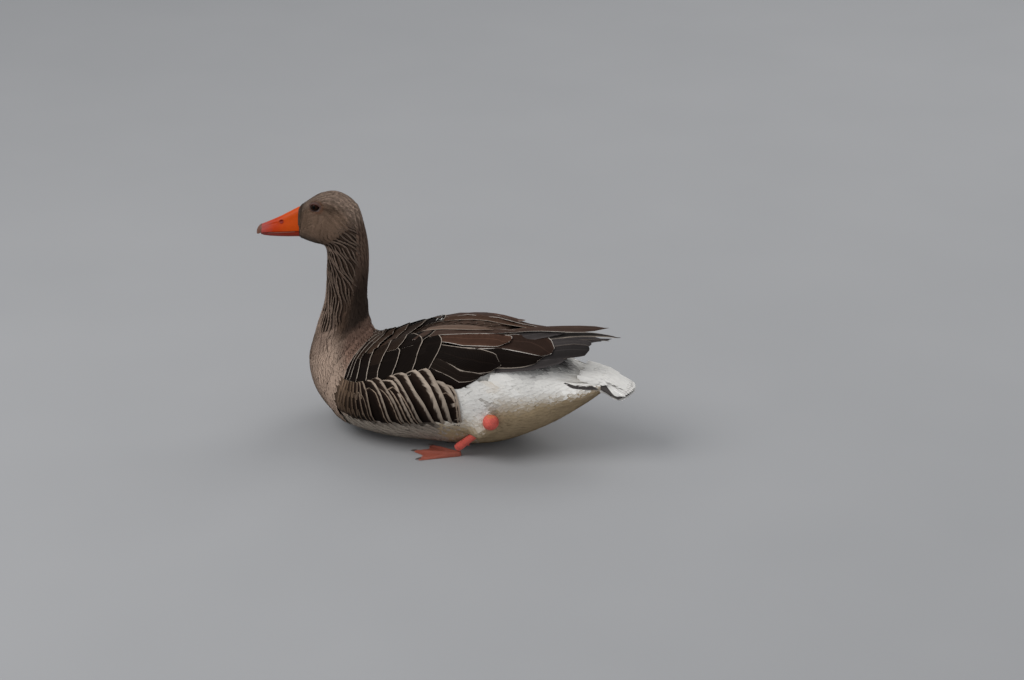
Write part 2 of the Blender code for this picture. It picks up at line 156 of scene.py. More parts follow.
def low_edge_table():
    """Angle from the back of the folded wing's lower edge, at body stations."""
    angles = np.linspace(0.0, math.pi, 361)
    stations = np.linspace(2.4, 8.1, 58)
    heights = np.interp(stations, *zip(*WING_LOW_EDGE))
    edge = []
    for t, height in zip(stations, heights):
        z = surface(np.full_like(angles, t), angles)[:, 2]
        edge.append(angles[np.argmax(z < height)])
    return stations, np.array(edge)


LOW_EDGE = low_edge_table()


def wing_top(u):
    """Angle from the back of the folded wing's upper edge."""
    return np.radians(WING_TOP + WING_TOP_FRONT * (1.0 - smooth(u / 0.30)))


def wing_place(t, a):
    """Share of the wing's length behind its front edge, and of its depth below its top."""
    angle = np.abs(a)
    low = np.interp(t, *LOW_EDGE)
    u = np.full_like(angle, 0.5)
    for _ in range(3):
        top = wing_top(u)
        v = (angle - top) / (low - top)
        front = np.interp(v, *zip(*WING_FRONT))
        u = (front - t) / (front - WING_REAR)
    return u, v


def wing_height(u, v):
    """Thickness of the folded wing, which thins towards its front and its lower edge."""
    return WING_EDGE + (WING_THICKNESS - WING_EDGE) * smooth(u / 0.35) * smooth((1.0 - v) / 0.45)


def bulge(t, a):
    """Height of wing and shoulder over the body; between the wings the mantle fills the gap."""
    u, v = wing_place(t, a)
    inside = smooth((u + 0.03) / 0.06) * smooth((1.03 - u) / 0.05) * smooth((1.10 - v) / 0.12)
    groove = 1.0 - 0.35 * smooth((0.10 - v) / 0.15)
    shoulder = SHOULDER_HEIGHT * hump(t, SHOULDER_STATION, 0.50) * hump(from_back(a), SHOULDER_ANGLE, 0.38)
    return (WING_GAP + wing_height(u, v)) * inside * groove + shoulder


def plumage(t, a, lift=0.0):
    """Point of the feathered surface, lift metres above the outline of the solids."""
    t, a = np.broadcast_arrays(np.asarray(t, float), np.asarray(a, float))
    height = bulge(t, a) + lift
    point = surface(t, a) + outward(t, a) * height[..., None]
    point[..., 2] = np.maximum(point[..., 2], FLOOR_CLEARANCE)
    return point


def stretch(t, a):
    """Metres for one station and for one radian at a place on the body."""
    along, around = (np.linalg.norm(slope, axis=-1) for slope in slopes(t, a))
    return np.maximum(along, 0.004), np.maximum(around, 0.003)


def eye_centre(side):
    return turn_head(np.array((EYE[0], side * EYE[1], EYE[2])))


# --- finishes ---------------------------------------------------------------------------------------
class Field:
    """One output of a node; arithmetic on it adds Math nodes."""

    def __init__(self, tree, socket):
        self.tree, self.socket = tree, socket

    def _math(self, operation, *values):
        node = self.tree.nodes.new("ShaderNodeMath")
        node.operation = operation
        for slot, value in zip(node.inputs, values):
            plug(self.tree, slot, value)
        return Field(self.tree, node.outputs[0])

    def __add__(self, other):
        return self._math("ADD", self, other)

    def __sub__(self, other):
        return self._math("SUBTRACT", self, other)

    def __rsub__(self, other):
        return self._math("SUBTRACT", other, self)

    def __mul__(self, other):
        return self._math("MULTIPLY", self, other)

    def __abs__(self):
        return self._math("ABSOLUTE", self)

    __radd__ = __add__
    __rmul__ = __mul__

    def least(self, other):
        return self._math("MINIMUM", self, other)

    def zigzag(self):
        return self._math("PINGPONG", self, 1.0)


def plug(tree, slot, value):
    """Link a field to a socket, or set the socket's value."""
    if isinstance(value, Field):
        tree.links.new(value.socket, slot)
    elif isinstance(value, tuple) and len(value) == 3 and slot.type == "RGBA":
        slot.default_value = (*value, 1.0)
    else:
        slot.default_value = value


class Finish:
    """A material with one Principled shader and the nodes that feed it."""

    def __init__(self, name, **constants):
        self.material = bpy.data.materials.new(name)
        self.material.use_nodes = True
        self.tree = self.material.node_tree
        self.shader = self.tree.nodes["Principled BSDF"]
        for socket, value in constants.items():
            plug(self.tree, self.shader.inputs[socket.replace("_", " ")], value)

    def node(self, kind, settings=None, sockets=None, output=0):
        node = self.tree.nodes.new(kind)
        for key, value in (settings or {}).items():
            setattr(node, key, value)
        for key, value in (sockets or {}).items():
            plug(self.tree, node.inputs[key], value)
        return Field(self.tree, node.outputs[output])

    def feed(self, socket, value):
        plug(self.tree, self.shader.inputs[socket], value)

    def place(self):
        return self.node("ShaderNodeTexCoord", output="Object")

    def split(self, vector):
        node = self.tree.nodes.new("ShaderNodeSeparateXYZ")
        self.tree.links.new(vector.socket, node.inputs[0])
        return [Field(self.tree, output) for output in node.outputs]

    def attribute(self, name, output="Color"):
        return self.node("ShaderNodeAttribute", {"attribute_type": "GEOMETRY", "attribute_name": name},
                         output=output)

    def noise(self, scale, detail=2.0, where=None):
        return self.node("ShaderNodeTexNoise", {"noise_dimensions": "3D"},
                         {"Vector": where or self.place(), "Scale": scale, "Detail": detail})

    def ramp(self, value, start, end, low=0.0, high=1.0):
        return self.node("ShaderNodeMapRange", {"interpolation_type": "SMOOTHSTEP", "clamp": True},
                         {"Value": value, "From Min": start, "From Max": end, "To Min": low,
                          "To Max": high})

    def blend(self, factor, low, high):
        return self.node("ShaderNodeMix", {"data_type": "RGBA"}, {0: factor, 6: low, 7: high}, 2)

    def shade(self, colour, factor):
        return self.node("ShaderNodeVectorMath", {"operation": "SCALE"}, {0: colour, "Scale": factor})

    def bump(self, height, distance):
        self.feed("Normal", self.node("ShaderNodeBump", None, {"Distance": distance, "Height": height}))

    def along_axis(self, offset, axis):
        """Measure of an offset along an axis."""
        return self.node("ShaderNodeVectorMath", {"operation": "DOT_PRODUCT"},
                         {0: offset, 1: tuple(axis)}, "Value")

    def offset_from(self, point):
        return self.node("ShaderNodeVectorMath", {"operation": "SUBTRACT"},
                         {0: self.place(), 1: tuple(point)})

    def distance_from(self, point):
        return self.node("ShaderNodeVectorMath", {"operation": "DISTANCE"},
                         {0: self.place(), 1: tuple(point)}, "Value")


FEATHER_GLOSS = 0.05
LOW_PLUMAGE, HIGH_PLUMAGE = 0.055, 0.115         # heights between which the low tone gives way


def feather_finish(name, roughness, barbs=9.0, relief=0.0003, shaft=0.35, mottle=0.35, fade=0.0, halo=0.2,
                   ragged=1.1, reach=0.35, low=1.0):
    """Vane with its own tint, a fringe of the edge's tint, a shaft line and slanting barbs.

    mottle is the strength of the clouding; fade thins the fringe towards the root; halo lightens the
    vane over reach, next to the fringe; ragged frays the fringe; low is the tone near the floor.
    """
    f = Finish(name, Roughness=roughness, Specular_IOR_Level=FEATHER_GLOSS)
    across, along, _ = f.split(f.node("ShaderNodeUVMap", {"uv_map": "Vane"}))
    side = abs(across - 0.5) * 2.0
    aspect = f.attribute("Tint", "Alpha")
    fringe = f.attribute("Edge", "Alpha")
    slant = along * aspect + side * 0.8
    strands = f.node("ShaderNodeCombineXYZ", None, {"X": slant * 11.0, "Y": side * 2.5, "Z": fringe * 37.0})
    fray = (f.noise(1.0, 3.0, strands) - 0.5) * ragged + (f.noise(150.0, 2.0) - 0.5) * 0.4
    inset = ((1.0 - side) * (1.0 + fade * (1.0 - along))).least((1.0 - along) * aspect)
    rim = f.ramp(inset + fray * fringe, fringe * 0.55, fringe * 1.15 + 0.001, 1.0, 0.0)
    barb = (slant * barbs).zigzag()
    cloudy = f.noise(95.0, 3.0)
    streak = f.noise(1400.0, 1.0)
    tone = 1.0 - mottle * 0.5 + mottle * cloudy
    tone = tone * (1.0 - mottle * 0.3 + mottle * 0.6 * streak) * (1.0 - 0.3 * mottle * barb)
    tone = tone * f.ramp(f.split(f.place())[2], LOW_PLUMAGE, HIGH_PLUMAGE, low, 1.0)
    spine = f.ramp(side, 0.02, 0.071, 1.0, 0.0) * shaft
    glow = f.ramp(inset, fringe, fringe * 1.2 + reach, halo, 0.0) + spine
    ground = f.shade(f.attribute("Tint"), 1.0 + glow)
    f.feed("Base Color", f.shade(f.blend(rim, ground, f.attribute("Edge")), tone))
    f.bump(barb * 0.6 + f.ramp(side, 0.0, 0.12, 0.8, 0.0), relief)
    return f.material


# --- feathers ---------------------------------------------------------------------------------------
class Leaf:
    """Thin closed leaf: a grid over a second grid that shares its border."""

    def __init__(self, columns, rows):
        bm = bmesh.new()
        bmesh.ops.create_grid(bm, x_segments=columns, y_segments=rows, size=1.0)
        under = bmesh.ops.duplicate(bm, geom=bm.verts[:] + bm.edges[:] + bm.faces[:])["geom"]
        bmesh.ops.reverse_faces(bm, faces=[g for g in under if isinstance(g, bmesh.types.BMFace)])
        for vert in [g for g in under if isinstance(g, bmesh.types.BMVert)]:
            if not vert.is_boundary:
                vert.co.z = -1.0
        bmesh.ops.remove_doubles(bm, verts=bm.verts, dist=1e-4)
        bm.verts.index_update()
        co = np.array([v.co for v in bm.verts])
        self.column = np.rint((co[:, 0] + 1.0) * 0.5 * columns).astype(int)
        self.row = np.rint((co[:, 1] + 1.0) * 0.5 * rows).astype(int)
        self.under = co[:, 2] < -0.5
        self.quads = np.array([[v.index for v in face.verts] for face in bm.faces])
        self.columns, self.rows = columns, rows
        bm.free()


TUFT_LONG = Leaf(2, 3)
RIDGE_TUFT = Leaf(4, 3)
SMALL_VANE = Leaf(4, 4)
VANE = Leaf(6, 7)
BROAD_VANE = Leaf(12, 12)
WELD = 1e-6


class Coat:
    """Feathers of one piece, gathered and then joined in one mesh."""

    def __init__(self, name):
        self.name = name
        self.points, self.vane, self.bake, self.tint, self.edge, self.quads = [], [], [], [], [], []
        self.count = 0

    def add(self, leaf, grid, normals, thickness, shares, cells, patch, tint, edge, aspect, fringe):
        """Add feathers: grid is feather, row, column, xyz; shares is row, column, (across, along)."""
        number = len(grid)
        pick = (slice(None), leaf.row, leaf.column)
        points = grid[pick] - normals[pick] * (leaf.under * thickness)[None, :, None]
        vane = np.broadcast_to(shares, grid.shape[:3] + (2,))[pick]
        patch = np.broadcast_to(np.asarray(patch, float), (number,))[:, None, None]
        bake = cells[:, None, :] + (vane - 0.5) * patch
        size = points.shape[1]
        colour = np.concatenate((tint, aspect[:, None]), 1)
        rim = np.concatenate((edge, fringe[:, None]), 1)
        self.points.append(points.reshape(-1, 3))
        self.vane.append(vane.reshape(-1, 2))
        self.bake.append(bake.reshape(-1, 2))
        self.tint.append(np.repeat(colour, size, axis=0))
        self.edge.append(np.repeat(rim, size, axis=0))
        starts = self.count + size * np.arange(number)
        self.quads.append((starts[:, None, None] + leaf.quads[None]).reshape(-1, 4))
        self.count += number * size

    def finish(self, material, *nodes):
        """Join the feathers in one mesh with its maps and tints, and put it in the scene."""
        quads = np.concatenate(self.quads)
        mesh = bpy.data.meshes.new(self.name)
        mesh.vertices.add(self.count)
        mesh.vertices.foreach_set("co", np.concatenate(self.points).astype(np.float32).ravel())
        mesh.loops.add(quads.size)
        mesh.loops.foreach_set("vertex_index", quads.astype(np.int32).ravel())
        mesh.polygons.add(len(quads))
        mesh.polygons.foreach_set("loop_start", np.arange(0, quads.size, 4, dtype=np.int32))
        mesh.update(calc_edges=True)
        for name, values in (("OFBake", self.bake), ("Vane", self.vane)):
            layer = mesh.uv_layers.new(name=name)
            layer.data.foreach_set("uv", np.concatenate(values)[quads.ravel()].astype(np.float32).ravel())
        for name, values in (("Tint", self.tint), ("Edge", self.edge)):
            layer = mesh.attributes.new(name, "FLOAT_COLOR", "POINT")
            layer.data.foreach_set("color", np.concatenate(values).astype(np.float32).ravel())
        mesh.set_sharp_from_angle(angle=math.radians(70))
        mesh.materials.append(material)
        return install(self.name, mesh, *nodes)


def add_object(name, data):
    piece = bpy.data.objects.new(name, data)
    bpy.context.scene.collection.objects.link(piece)
    return piece


def install(name, mesh, *nodes):
    """Put a finished mesh in the scene, riding with the body and standing for the named solids."""
    piece = add_object(name, mesh)
    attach(piece, "root")
    if nodes:
        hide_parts(*nodes)
    return piece


BAKE_MARGIN = 0.02


def on_map(share):
    """Place on the bake map for a share from 0 to 1."""
    return BAKE_MARGIN + (1.0 - 2.0 * BAKE_MARGIN) * share


def bake_grid(around, along):
    """Flat grid whose OFBake map is its own plane, with that map and each point's place from -1 to 1."""
    bm = bmesh.new()
    bmesh.ops.create_grid(bm, x_segments=around, y_segments=along, size=1.0)
    bake = bm.loops.layers.uv.new("OFBake")
    for face in bm.faces:
        for loop in face.loops:
            loop[bake].uv = [on_map(0.5 * (place + 1.0)) for place in loop.vert.co.xy]
    return bm, bake, np.array([(v.co.x, v.co.y) for v in bm.verts])


def weld_tube(bm, bake, points):
    """Move a grid's points to their places, weld it into a tube, and close both ends and return them."""
    for vert, point in zip(bm.verts, points):
        vert.co = point
    bmesh.ops.remove_doubles(bm, verts=bm.verts, dist=WELD)
    ends = bmesh.ops.holes_fill(bm, edges=[e for e in bm.edges if e.is_boundary], sides=0)["faces"]
    for face in ends:
        for loop in face.loops:
            loop[bake].uv = (0.005, 0.005)
    bmesh.ops.recalc_face_normals(bm, faces=bm.faces)
    return ends


def settle(bm, name, material, *nodes, sharp=None):
    """Turn a bmesh into a finished piece; edges steeper than sharp, in degrees, stay sharp."""
    mesh = bpy.data.meshes.new(name)
    bm.to_mesh(mesh)
    bm.free()
    mesh.shade_smooth()
    if sharp:
        mesh.set_sharp_from_angle(angle=math.radians(sharp))
    mesh.materials.append(material)
    return install(name, mesh, *nodes)


def wrap_grid(name, around, along, place, material, *nodes):
    """Closed tube from place(angle around it, share of its length)."""
    bm, bake, share = bake_grid(around, along)
    weld_tube(bm, bake, place(share[:, 0] * math.pi, 0.5 * (share[:, 1] + 1.0)))
    return settle(bm, name, material, *nodes, sharp=60.0)


def bake_spots(start, pitch, columns):
    """Centres of the bake patches for feathers that are laid one by one."""
    return iter([(start + pitch * (k % columns), start + pitch * (k // columns))
                 for k in range(columns ** 2)])


def sow(rng, first, last, along, across, keep=None, jitter=0.2):
    """Roots in staggered rings, evenly spaced over the surface."""
    grid = np.linspace(-math.pi, math.pi, 241)
    roots_t, roots_a = [], []
    t, row = first, 0
    while t < last:
        length, around = stretch(t, grid)
        step = along / length.max()
        lengths = np.concatenate(([0.0], np.cumsum(0.5 * (around[1:] + around[:-1]) * np.diff(grid))))
        count = max(3, int(lengths[-1] / across))
        order = np.arange(count) + 0.5 * (row % 2)
        places = (order + rng.uniform(-jitter, jitter, count)) / count * lengths[-1]
        a = np.interp(places, lengths, grid)
        density = np.interp(a, grid, length) / length.max()
        phase = (order * 0.618) % 1.0
        chosen = np.floor((row + 1) * density + phase) > np.floor(row * density + phase)
        roots_t.append((t + rng.uniform(-jitter, jitter, count) * step)[chosen])
        roots_a.append(a[chosen])
        t, row = t + step, row + 1
    t, a = np.concatenate(roots_t), np.concatenate(roots_a)
    if keep is not None:
        chosen = keep(t, a)
        t, a = t[chosen], a[chosen]
    return t, a


def profile(leaf, root=0.5, widest=0.55, square=0.35):
    """Half-width share and place along the feather for each row and column of a leaf."""
    share = np.linspace(0.0, 1.0, leaf.rows + 1) ** 0.85
    across = np.linspace(-1.0, 1.0, leaf.columns + 1)
    grow = root + (1.0 - root) * smooth(share / widest)
    close = np.sqrt(np.clip(1.0 - (1.0 - square) * (np.clip(share - widest, 0, 1) / (1 - widest)) ** 2.4,
                            0.0, 1.0))
    half = grow * close
    along = share[:, None] * (1.0 - 0.5 * (1.0 - square) * across[None, :] ** 2 * share[:, None] ** 2)
    return across, half, along


def lay(coat, leaf, t, a, drift, length, width, root, tip, tint, edge=None, fringe=0.0, camber=0.0,
        thickness=0.00025, patch=0.003, shape=(0.5, 0.55, 0.35), from_tip=False, base=plumage):
    """Lay feathers on the body from their roots (or tips), each leaning away by its drift angle.

    root and tip are the heights of both ends over the base surface; camber sinks the long edges;
    fringe is a share of the half width; patch is the size on the bake map; shape goes to profile.
    """
    number = len(t)
    if number == 0:
        return
    drift, length, width, root, tip, fringe, camber = (
        np.broadcast_to(np.asarray(value, float), (number,)).copy()
        for value in (drift, length, width, root, tip, fringe, camber))
    across, half, along = profile(leaf, *shape)
    share = along[:, leaf.columns // 2]
    steps = np.diff(share)
    t_path, a_path = np.empty((number, leaf.rows + 1)), np.empty((number, leaf.rows + 1))
    order, turn = (range(leaf.rows, -1, -1), -1) if from_tip else (range(leaf.rows + 1), 1)
    here_t, here_a = t.copy(), a.copy()
    for k in order:
        t_path[:, k], a_path[:, k] = here_t, here_a
        if 0 <= k + turn <= leaf.rows:
            step = turn * steps[min(k, k + turn)] * length
            metre_t, metre_a = stretch(here_t, here_a)
            here_t = here_t - np.cos(drift) * step / metre_t
            here_a = here_a + np.sin(drift) * step / metre_a
    metre_t, metre_a = stretch(t_path, a_path)
    # each row's columns lie square to the shaft; their lag rounds the tip
    side = across[None, None, :] * (half[None, :] * width[:, None] * 0.5)[:, :, None]
    lag = (along - share[:, None])[None] * length[:, None, None]
    cos, sin = np.cos(drift)[:, None, None], np.sin(drift)[:, None, None]
    tt = t_path[:, :, None] + (sin * side - cos * lag) / metre_t[:, :, None]
    aa = a_path[:, :, None] + (cos * side + sin * lag) / metre_a[:, :, None]
    tt = np.clip(tt, 0.0, LAST)
    climb = share[None, :, None]
    lift = root[:, None, None] + (tip - root)[:, None, None] * climb ** 0.8
    lift = lift - camber[:, None, None] * across[None, None, :] ** 2 * (0.4 + 0.6 * climb)
    shares = np.stack(np.broadcast_arrays(0.5 + 0.5 * across[None, :] * half[:, None] / half.max(),
                                          along), -1)
    aspect = length / (0.5 * width)
    rim = tint if edge is None else np.broadcast_to(edge, (number, 3))
    cells = on_map(np.stack(((a / (2 * math.pi) + 0.5) % 1.0, t / LAST), -1))
    coat.add(leaf, base(tt, aa, lift), outward(tt, aa), thickness, shares, cells, patch,
             np.broadcast_to(tint, (number, 3)), rim, aspect, fringe)


def mix(low, high, share):
    """Blend of two colours, or of two rows of colours."""
    share = np.asarray(share, float)[..., None]
    return np.asarray(low) * (1.0 - share) + np.asarray(high) * share


def wave(t, a):
    """Slow irregular variation between -1 and 1 over the surface."""
    return (np.sin(3.1 * t + 2.3 * np.sin(2.0 * a)) * 0.5 + np.sin(5.7 * a + 1.9 * t) * 0.3
            + np.sin(9.3 * t - 7.1 * a) * 0.2)


# --- colours of the plumage ---------------------------------------------------------------------------
CROWN, CHEEK = (0.270, 0.195, 0.150), (0.205, 0.134, 0.093)
FOREHEAD, THROAT = (0.075, 0.054, 0.040), (0.100, 0.075, 0.060)
NAPE, NAPE_LOW, NECK_LOW = (0.130, 0.083, 0.061), (0.050, 0.034, 0.026), (0.090, 0.056, 0.039)
BREAST, BREAST_UP, BREAST_LOW = (0.398, 0.290, 0.224), (0.260, 0.184, 0.142), (0.130, 0.094, 0.070)
MANTLE, WING_DARK, FRINGE = (0.285, 0.175, 0.130), (0.0074, 0.0044, 0.0031), (0.42, 0.35, 0.29)
FLANK_DARK, FLANK_PALE = (0.011, 0.0065, 0.0045), (0.48, 0.39, 0.31)
BELLY_GREY, WHITE = (0.40, 0.34, 0.28), (0.89, 0.86, 0.81)
# The low vent's cream and the rump's grey both carry painted shade as well as their own colour.
CREAM_AND_SHADE, RUMP_GREY_AND_SHADE = (0.38, 0.285, 0.175), (0.095, 0.087, 0.086)


def markings(t, a):
    """Ground colour of skin and coat at a place on the body, with painted shade in the low vent's cream and
    in the rump's grey.
    """
    t, a = np.broadcast_arrays(np.asarray(t, float), np.asarray(a, float))
    side = degrees_side(a)
    head = mix(mix(THROAT, CHEEK, smooth((160.0 - side) / 45.0)), CROWN, smooth((62.0 - side) / 26.0))
    head = mix(head, FOREHEAD, smooth((t - 18.1) / 0.65) * smooth((150.0 - side) / 30.0))
    neck = mix(NECK_LOW, mix(NAPE_LOW, NAPE, smooth((t - 11.2) / 1.8)), smooth((70.0 - side) / 25.0))
    keel = smooth((side - 104.0 - 16.0 * smooth((t - 8.0) / 1.0)) / 42.0)
    front = mix(mix(BREAST_UP, BREAST, smooth((9.9 - t) / 1.0)), BREAST_LOW, keel)
    front = mix(front, MANTLE, smooth((66.0 - side) / 24.0) * smooth((10.6 - t) / 0.9))
    belly = mix(BELLY_GREY, WHITE, smooth((4.4 - t) / 1.2))
    flank = mix(FLANK_DARK, BREAST, smooth((t - 6.7) / 0.8) * 0.8)
    trunk = mix(flank, belly, smooth((side - 100.0) / 14.0))
    trunk = mix(trunk, WING_DARK, smooth((62.0 - side) / 6.0))
    # The rump's grey between the wing tips, deepened by painted shade under the wing tips.
    wedge = 55.0 * np.clip((t - 1.0) / 1.2, 0.0, 1.0)
    # Painted shade as well as a real cream tint: the low rear of the vent turns cream and darker towards the
    # underside.
    cream_and_shade = smooth((side - 68.0 - 18.0 * smooth((t - 3.0) / 0.5)) / 28.0)
    rear = mix(mix(WHITE, CREAM_AND_SHADE, cream_and_shade), RUMP_GREY_AND_SHADE, smooth((wedge + 6.0 - side) / 34.0))
    colour = mix(neck, head, smooth((t - 14.15) / 0.7))
    colour = mix(front, colour, smooth((t - 9.95 + 1.55 * smooth((100.0 - side) / 45.0)) / 1.25))
    colour = mix(trunk, colour, smooth((t - 7.2) / 0.5))
    colour = mix(rear, colour, smooth((t - 3.87) / 0.08))
    return colour * (1.0 + 0.10 * wave(t, a))[..., None]


# --- the skin --------------------------------------------------------------------------------------
EYE_SOCKET, EYE_SOCKET_DEPTH = (0.0080, 0.0064), 0.0024


def coat_depth(t):
    """Depth of the feathers over the skin, least on the head and most on the body."""
    return 0.0010 + 0.0022 * smooth((15.2 - t) / 1.5) + 0.0018 * smooth((9.5 - t) / 2.5)


def make_skin(finish):
    """One closed skin from the tail root to the bill root, under all the feathers."""
    bm, bake, share = bake_grid(144, 228)
    a = share[:, 0] * math.pi
    t = (share[:, 1] * 0.5 + 0.5) * LAST
    points = plumage(t, a, -coat_depth(t))
    socket = EYE_SOCKET_DEPTH * smooth((1.35 - around_eyes(points, *EYE_SOCKET)) / 0.5)
    points = points - outward(t, a) * socket[:, None]
    tint = bm.verts.layers.float_color.new("Tint")
    for vert, colour in zip(bm.verts, markings(t, a)):
        vert[tint] = (*colour, 1.0)
    ends = weld_tube(bm, bake, points)
    bmesh.ops.triangulate(bm, faces=ends)
    return settle(bm, "skin", finish, "vent", "trunk", "breast", "neck_base", "neck", "head",
                  "wing_left", "wing_right")


def skin_finish():
    f = Finish("downy_skin", Roughness=0.9, Specular_IOR_Level=0.15)
    down = f.noise(700.0, 3.0)
    f.feed("Base Color", f.shade(f.attribute("Tint"), 0.55 + 0.5 * down))
    f.bump(down, 0.0008)
    return f.material


# --- coats of the body -----------------------------------------------------------------------------
# Where the breast's feathers end, in degrees from the back and stations.
BREAST_END = ((0, 7.90), (10, 7.95), (25, 8.00), (35, 7.98), (46, 7.86), (54, 7.74), (62, 7.62), (66, 7.62),
              (106, 7.12), (120, 6.90), (180, 6.80))
FRONT_LINE_LIFT = 0.0019             # how far its last row stands over the coverts
FEATHERED_EYE = (0.0086, 0.0068)     # half length and half height of the bare place for the lids


def behind_breast(t, a):
    """Whether a place lies behind the first line of the coverts and the flank."""
    return t < np.interp(degrees_side(a), *zip(*BREAST_END))


def on_wing(t, a):
    u, v = wing_place(t, a)
    return (u > 0.0) & (u < 1.0) & (v < 1.0) & (t < 8.2)


def speckle(rng, colours, amount):
    """Each feather a little lighter or darker than its neighbours."""
    return colours * (1.0 + amount * rng.uniform(-1.0, 1.0, len(colours)))[:, None]


def coat_head(finish):
    """Short tufts, streaked on the crown and dark behind the eyes."""
    rng = np.random.default_rng(11)
    coat = Coat("coat_head")
    t, a = sow(rng, first=14.5, last=18.96, along=0.0019, across=0.0021,
               keep=lambda t, a: around_eyes(surface(t, a), *FEATHERED_EYE) > 1.0)
    dashes = 0.10 + 0.30 * smooth((85.0 - degrees_side(a)) / 40.0) * smooth((18.0 - t) / 0.8)
    colours = markings(t, a) * (1.0 + dashes * rng.uniform(-0.8, 0.8, len(t)))[:, None]
    streak = np.sin(a * 34.0 + 2.0 * np.sin(3.0 * t)) * smooth((92.0 - degrees_side(a)) / 30.0)
    colours = colours * (1.0 + 0.24 * streak * smooth((18.2 - t) / 0.8))[:, None]
    near_eye = smooth((1.6 - around_eyes(surface(t, a), *FEATHERED_EYE)) / 0.6)
    colours = colours * (1.0 - near_eye[:, None] * np.array((0.0, 0.22, 0.30)))
    colours = colours * (1.0 - 0.30 * near_eye - 0.60 * behind_eyes(surface(t, a)))[:, None]
    size = 0.0042 + 0.0016 * smooth((17.5 - t) / 2.0)
    lay(coat, TUFT_LONG, t, a, drift=rng.normal(0.0, 0.10, len(t)),
        length=size * rng.uniform(0.85, 1.15, len(t)), width=0.0026, root=-0.0010, tip=0.0001,
        tint=colours, edge=colours * 1.5, fringe=0.20, camber=0.0002, thickness=0.00015)
    return coat.finish(finish)


RIDGE_PITCH, RIDGE_STEP = 0.0046, 0.0024
RIDGE_LEAN = ((10.2, 0.22), (11.0, 0.30), (12.2, 0.46), (13.3, 0.58), (14.0, 0.62), (14.8, 0.64))
# The ridges' dark colour is painted shade in the furrows between them.
RIDGE_PALE, RIDGE_FURROW_SHADE = (0.200, 0.142, 0.109), (0.012, 0.008, 0.006)
RIDGE_LOW = (0.300, 0.215, 0.165)
# Degrees from the back where the smooth strip of the nape ends, by station.
STRIP_EDGE = ((9.3, 86.0), (10.2, 66.0), (11.5, 58.0), (13.0, 45.0), (14.2, 36.0), (15.3, 34.0))


def strip_edge(t):
    return np.interp(t, *zip(*STRIP_EDGE))


def ridge_lines():
    """Evenly spaced furrow ridges that run down the neck and back to the nape strip."""
    laid, lines = np.empty((0, 3)), []

    def room(place):
        """Distance to the nearest ridge that is laid already, in pitches."""
        return np.linalg.norm(laid - place, axis=1).min() / RIDGE_PITCH if len(laid) else math.inf

    for start in np.arange(15.25, 9.5, -0.04):
        for degrees in np.arange(179.0, 36.0, -2.0):
            top = 14.70 + 0.55 * float(smooth((120.0 - degrees) / 60.0))
            if start > top or degrees < strip_edge(start):
                continue
            t, a = start, -math.radians(degrees)
            if room(surface(t, a)) < 0.94:
                continue
            line, places = [], []
            while t > 9.25 and -a > math.radians(strip_edge(t) - 4.0):
                place = surface(t, a)
                if room(place) < 0.70:
                    break
                lean = np.interp(t, *zip(*RIDGE_LEAN)) * smooth((math.degrees(a) + 178.0) / 34.0)
                lean = lean * (1.0 + 0.15 * math.sin(3.0 * t + 2.0 * a))
                lean = lean + 0.20 * math.sin(7.0 * t + 5.0 * a)
                line.append((t, a, lean))
                places.append(place)
                length, around = stretch(t, a)
                t = t - math.cos(lean) * RIDGE_STEP / length
                a = a + math.sin(lean) * RIDGE_STEP / around
            if len(line) > 3:
                lines.append(np.array(line))
                laid = np.concatenate((laid, np.array(places)))
    return lines


def coat_neck(finish):
    """Rope-like ridges of narrow feathers on the sides and throat, their furrows darkened with painted shade,
    and a smooth dark strip on the nape.
    """
    rng = np.random.default_rng(12)
    coat = Coat("coat_neck")
    t, a = sow(rng, first=10.2, last=15.2, along=0.0030, across=0.0030,
               keep=lambda t, a: degrees_side(a) < strip_edge(t) + 3.0)
    colours = markings(t, a)
    streak = np.sign(np.sin(a * 26.0 + 3.0 * np.sin(2.0 * t))) * smooth((t - 12.0) / 1.0)
    colours = speckle(rng, colours * (1.0 + 0.30 * streak)[:, None], 0.18)
    lay(coat, TUFT_LONG, t, a, drift=rng.normal(0.0, 0.06, len(t)), length=0.0105, width=0.0042,
        root=-0.0024, tip=0.0002 + 0.0010 * smooth((t - 13.0) / 1.5),
        tint=colours, edge=colours * 0.6, fringe=0.20, camber=0.0006)
    lines = ridge_lines()
    for side in (-1, 1):
        for line in lines:
            number = len(line)
            t, a, lean = line[:, 0], line[:, 1] * -side, line[:, 2] * -side
            rear = smooth((115.0 - degrees_side(a)) / 50.0)
            fade = smooth((t - 9.2) / 1.2) * (1.0 - 0.75 * smooth((t - 14.25 - 0.7 * rear) / 0.45))
            ground = markings(t, a)
            crest = mix(mix(RIDGE_LOW, NECK_LOW, rear), RIDGE_PALE, smooth((t - 10.2) / 2.2))
            tone = rng.uniform(0.75, 1.2) * rng.uniform(0.88, 1.12, number)
            tone = tone * (1.0 + 0.4 * smooth((degrees_side(a) - 120.0) / 40.0))
            pale = mix(ground, crest, fade) * tone[:, None]
            # Painted shade: the ridge feathers' dark edges darken the furrows between the ropes.
            dark = mix(ground * 0.85, RIDGE_FURROW_SHADE, fade)
            ends = smooth(np.minimum(np.arange(number) + 1, number - np.arange(number)) / 3.0)
            width = RIDGE_PITCH * (0.50 + 0.45 * ends)
            lay(coat, RIDGE_TUFT, t, a, drift=lean + rng.normal(0.0, 0.03, number), length=0.0088,
                width=width, root=-0.0022, tip=0.0005 + rng.normal(0.0, 0.0001, number),
                tint=pale, edge=dark, fringe=0.55, camber=0.0004 + 0.0016 * fade, shape=(0.7, 0.5, 0.2))
    return coat.finish(finish)


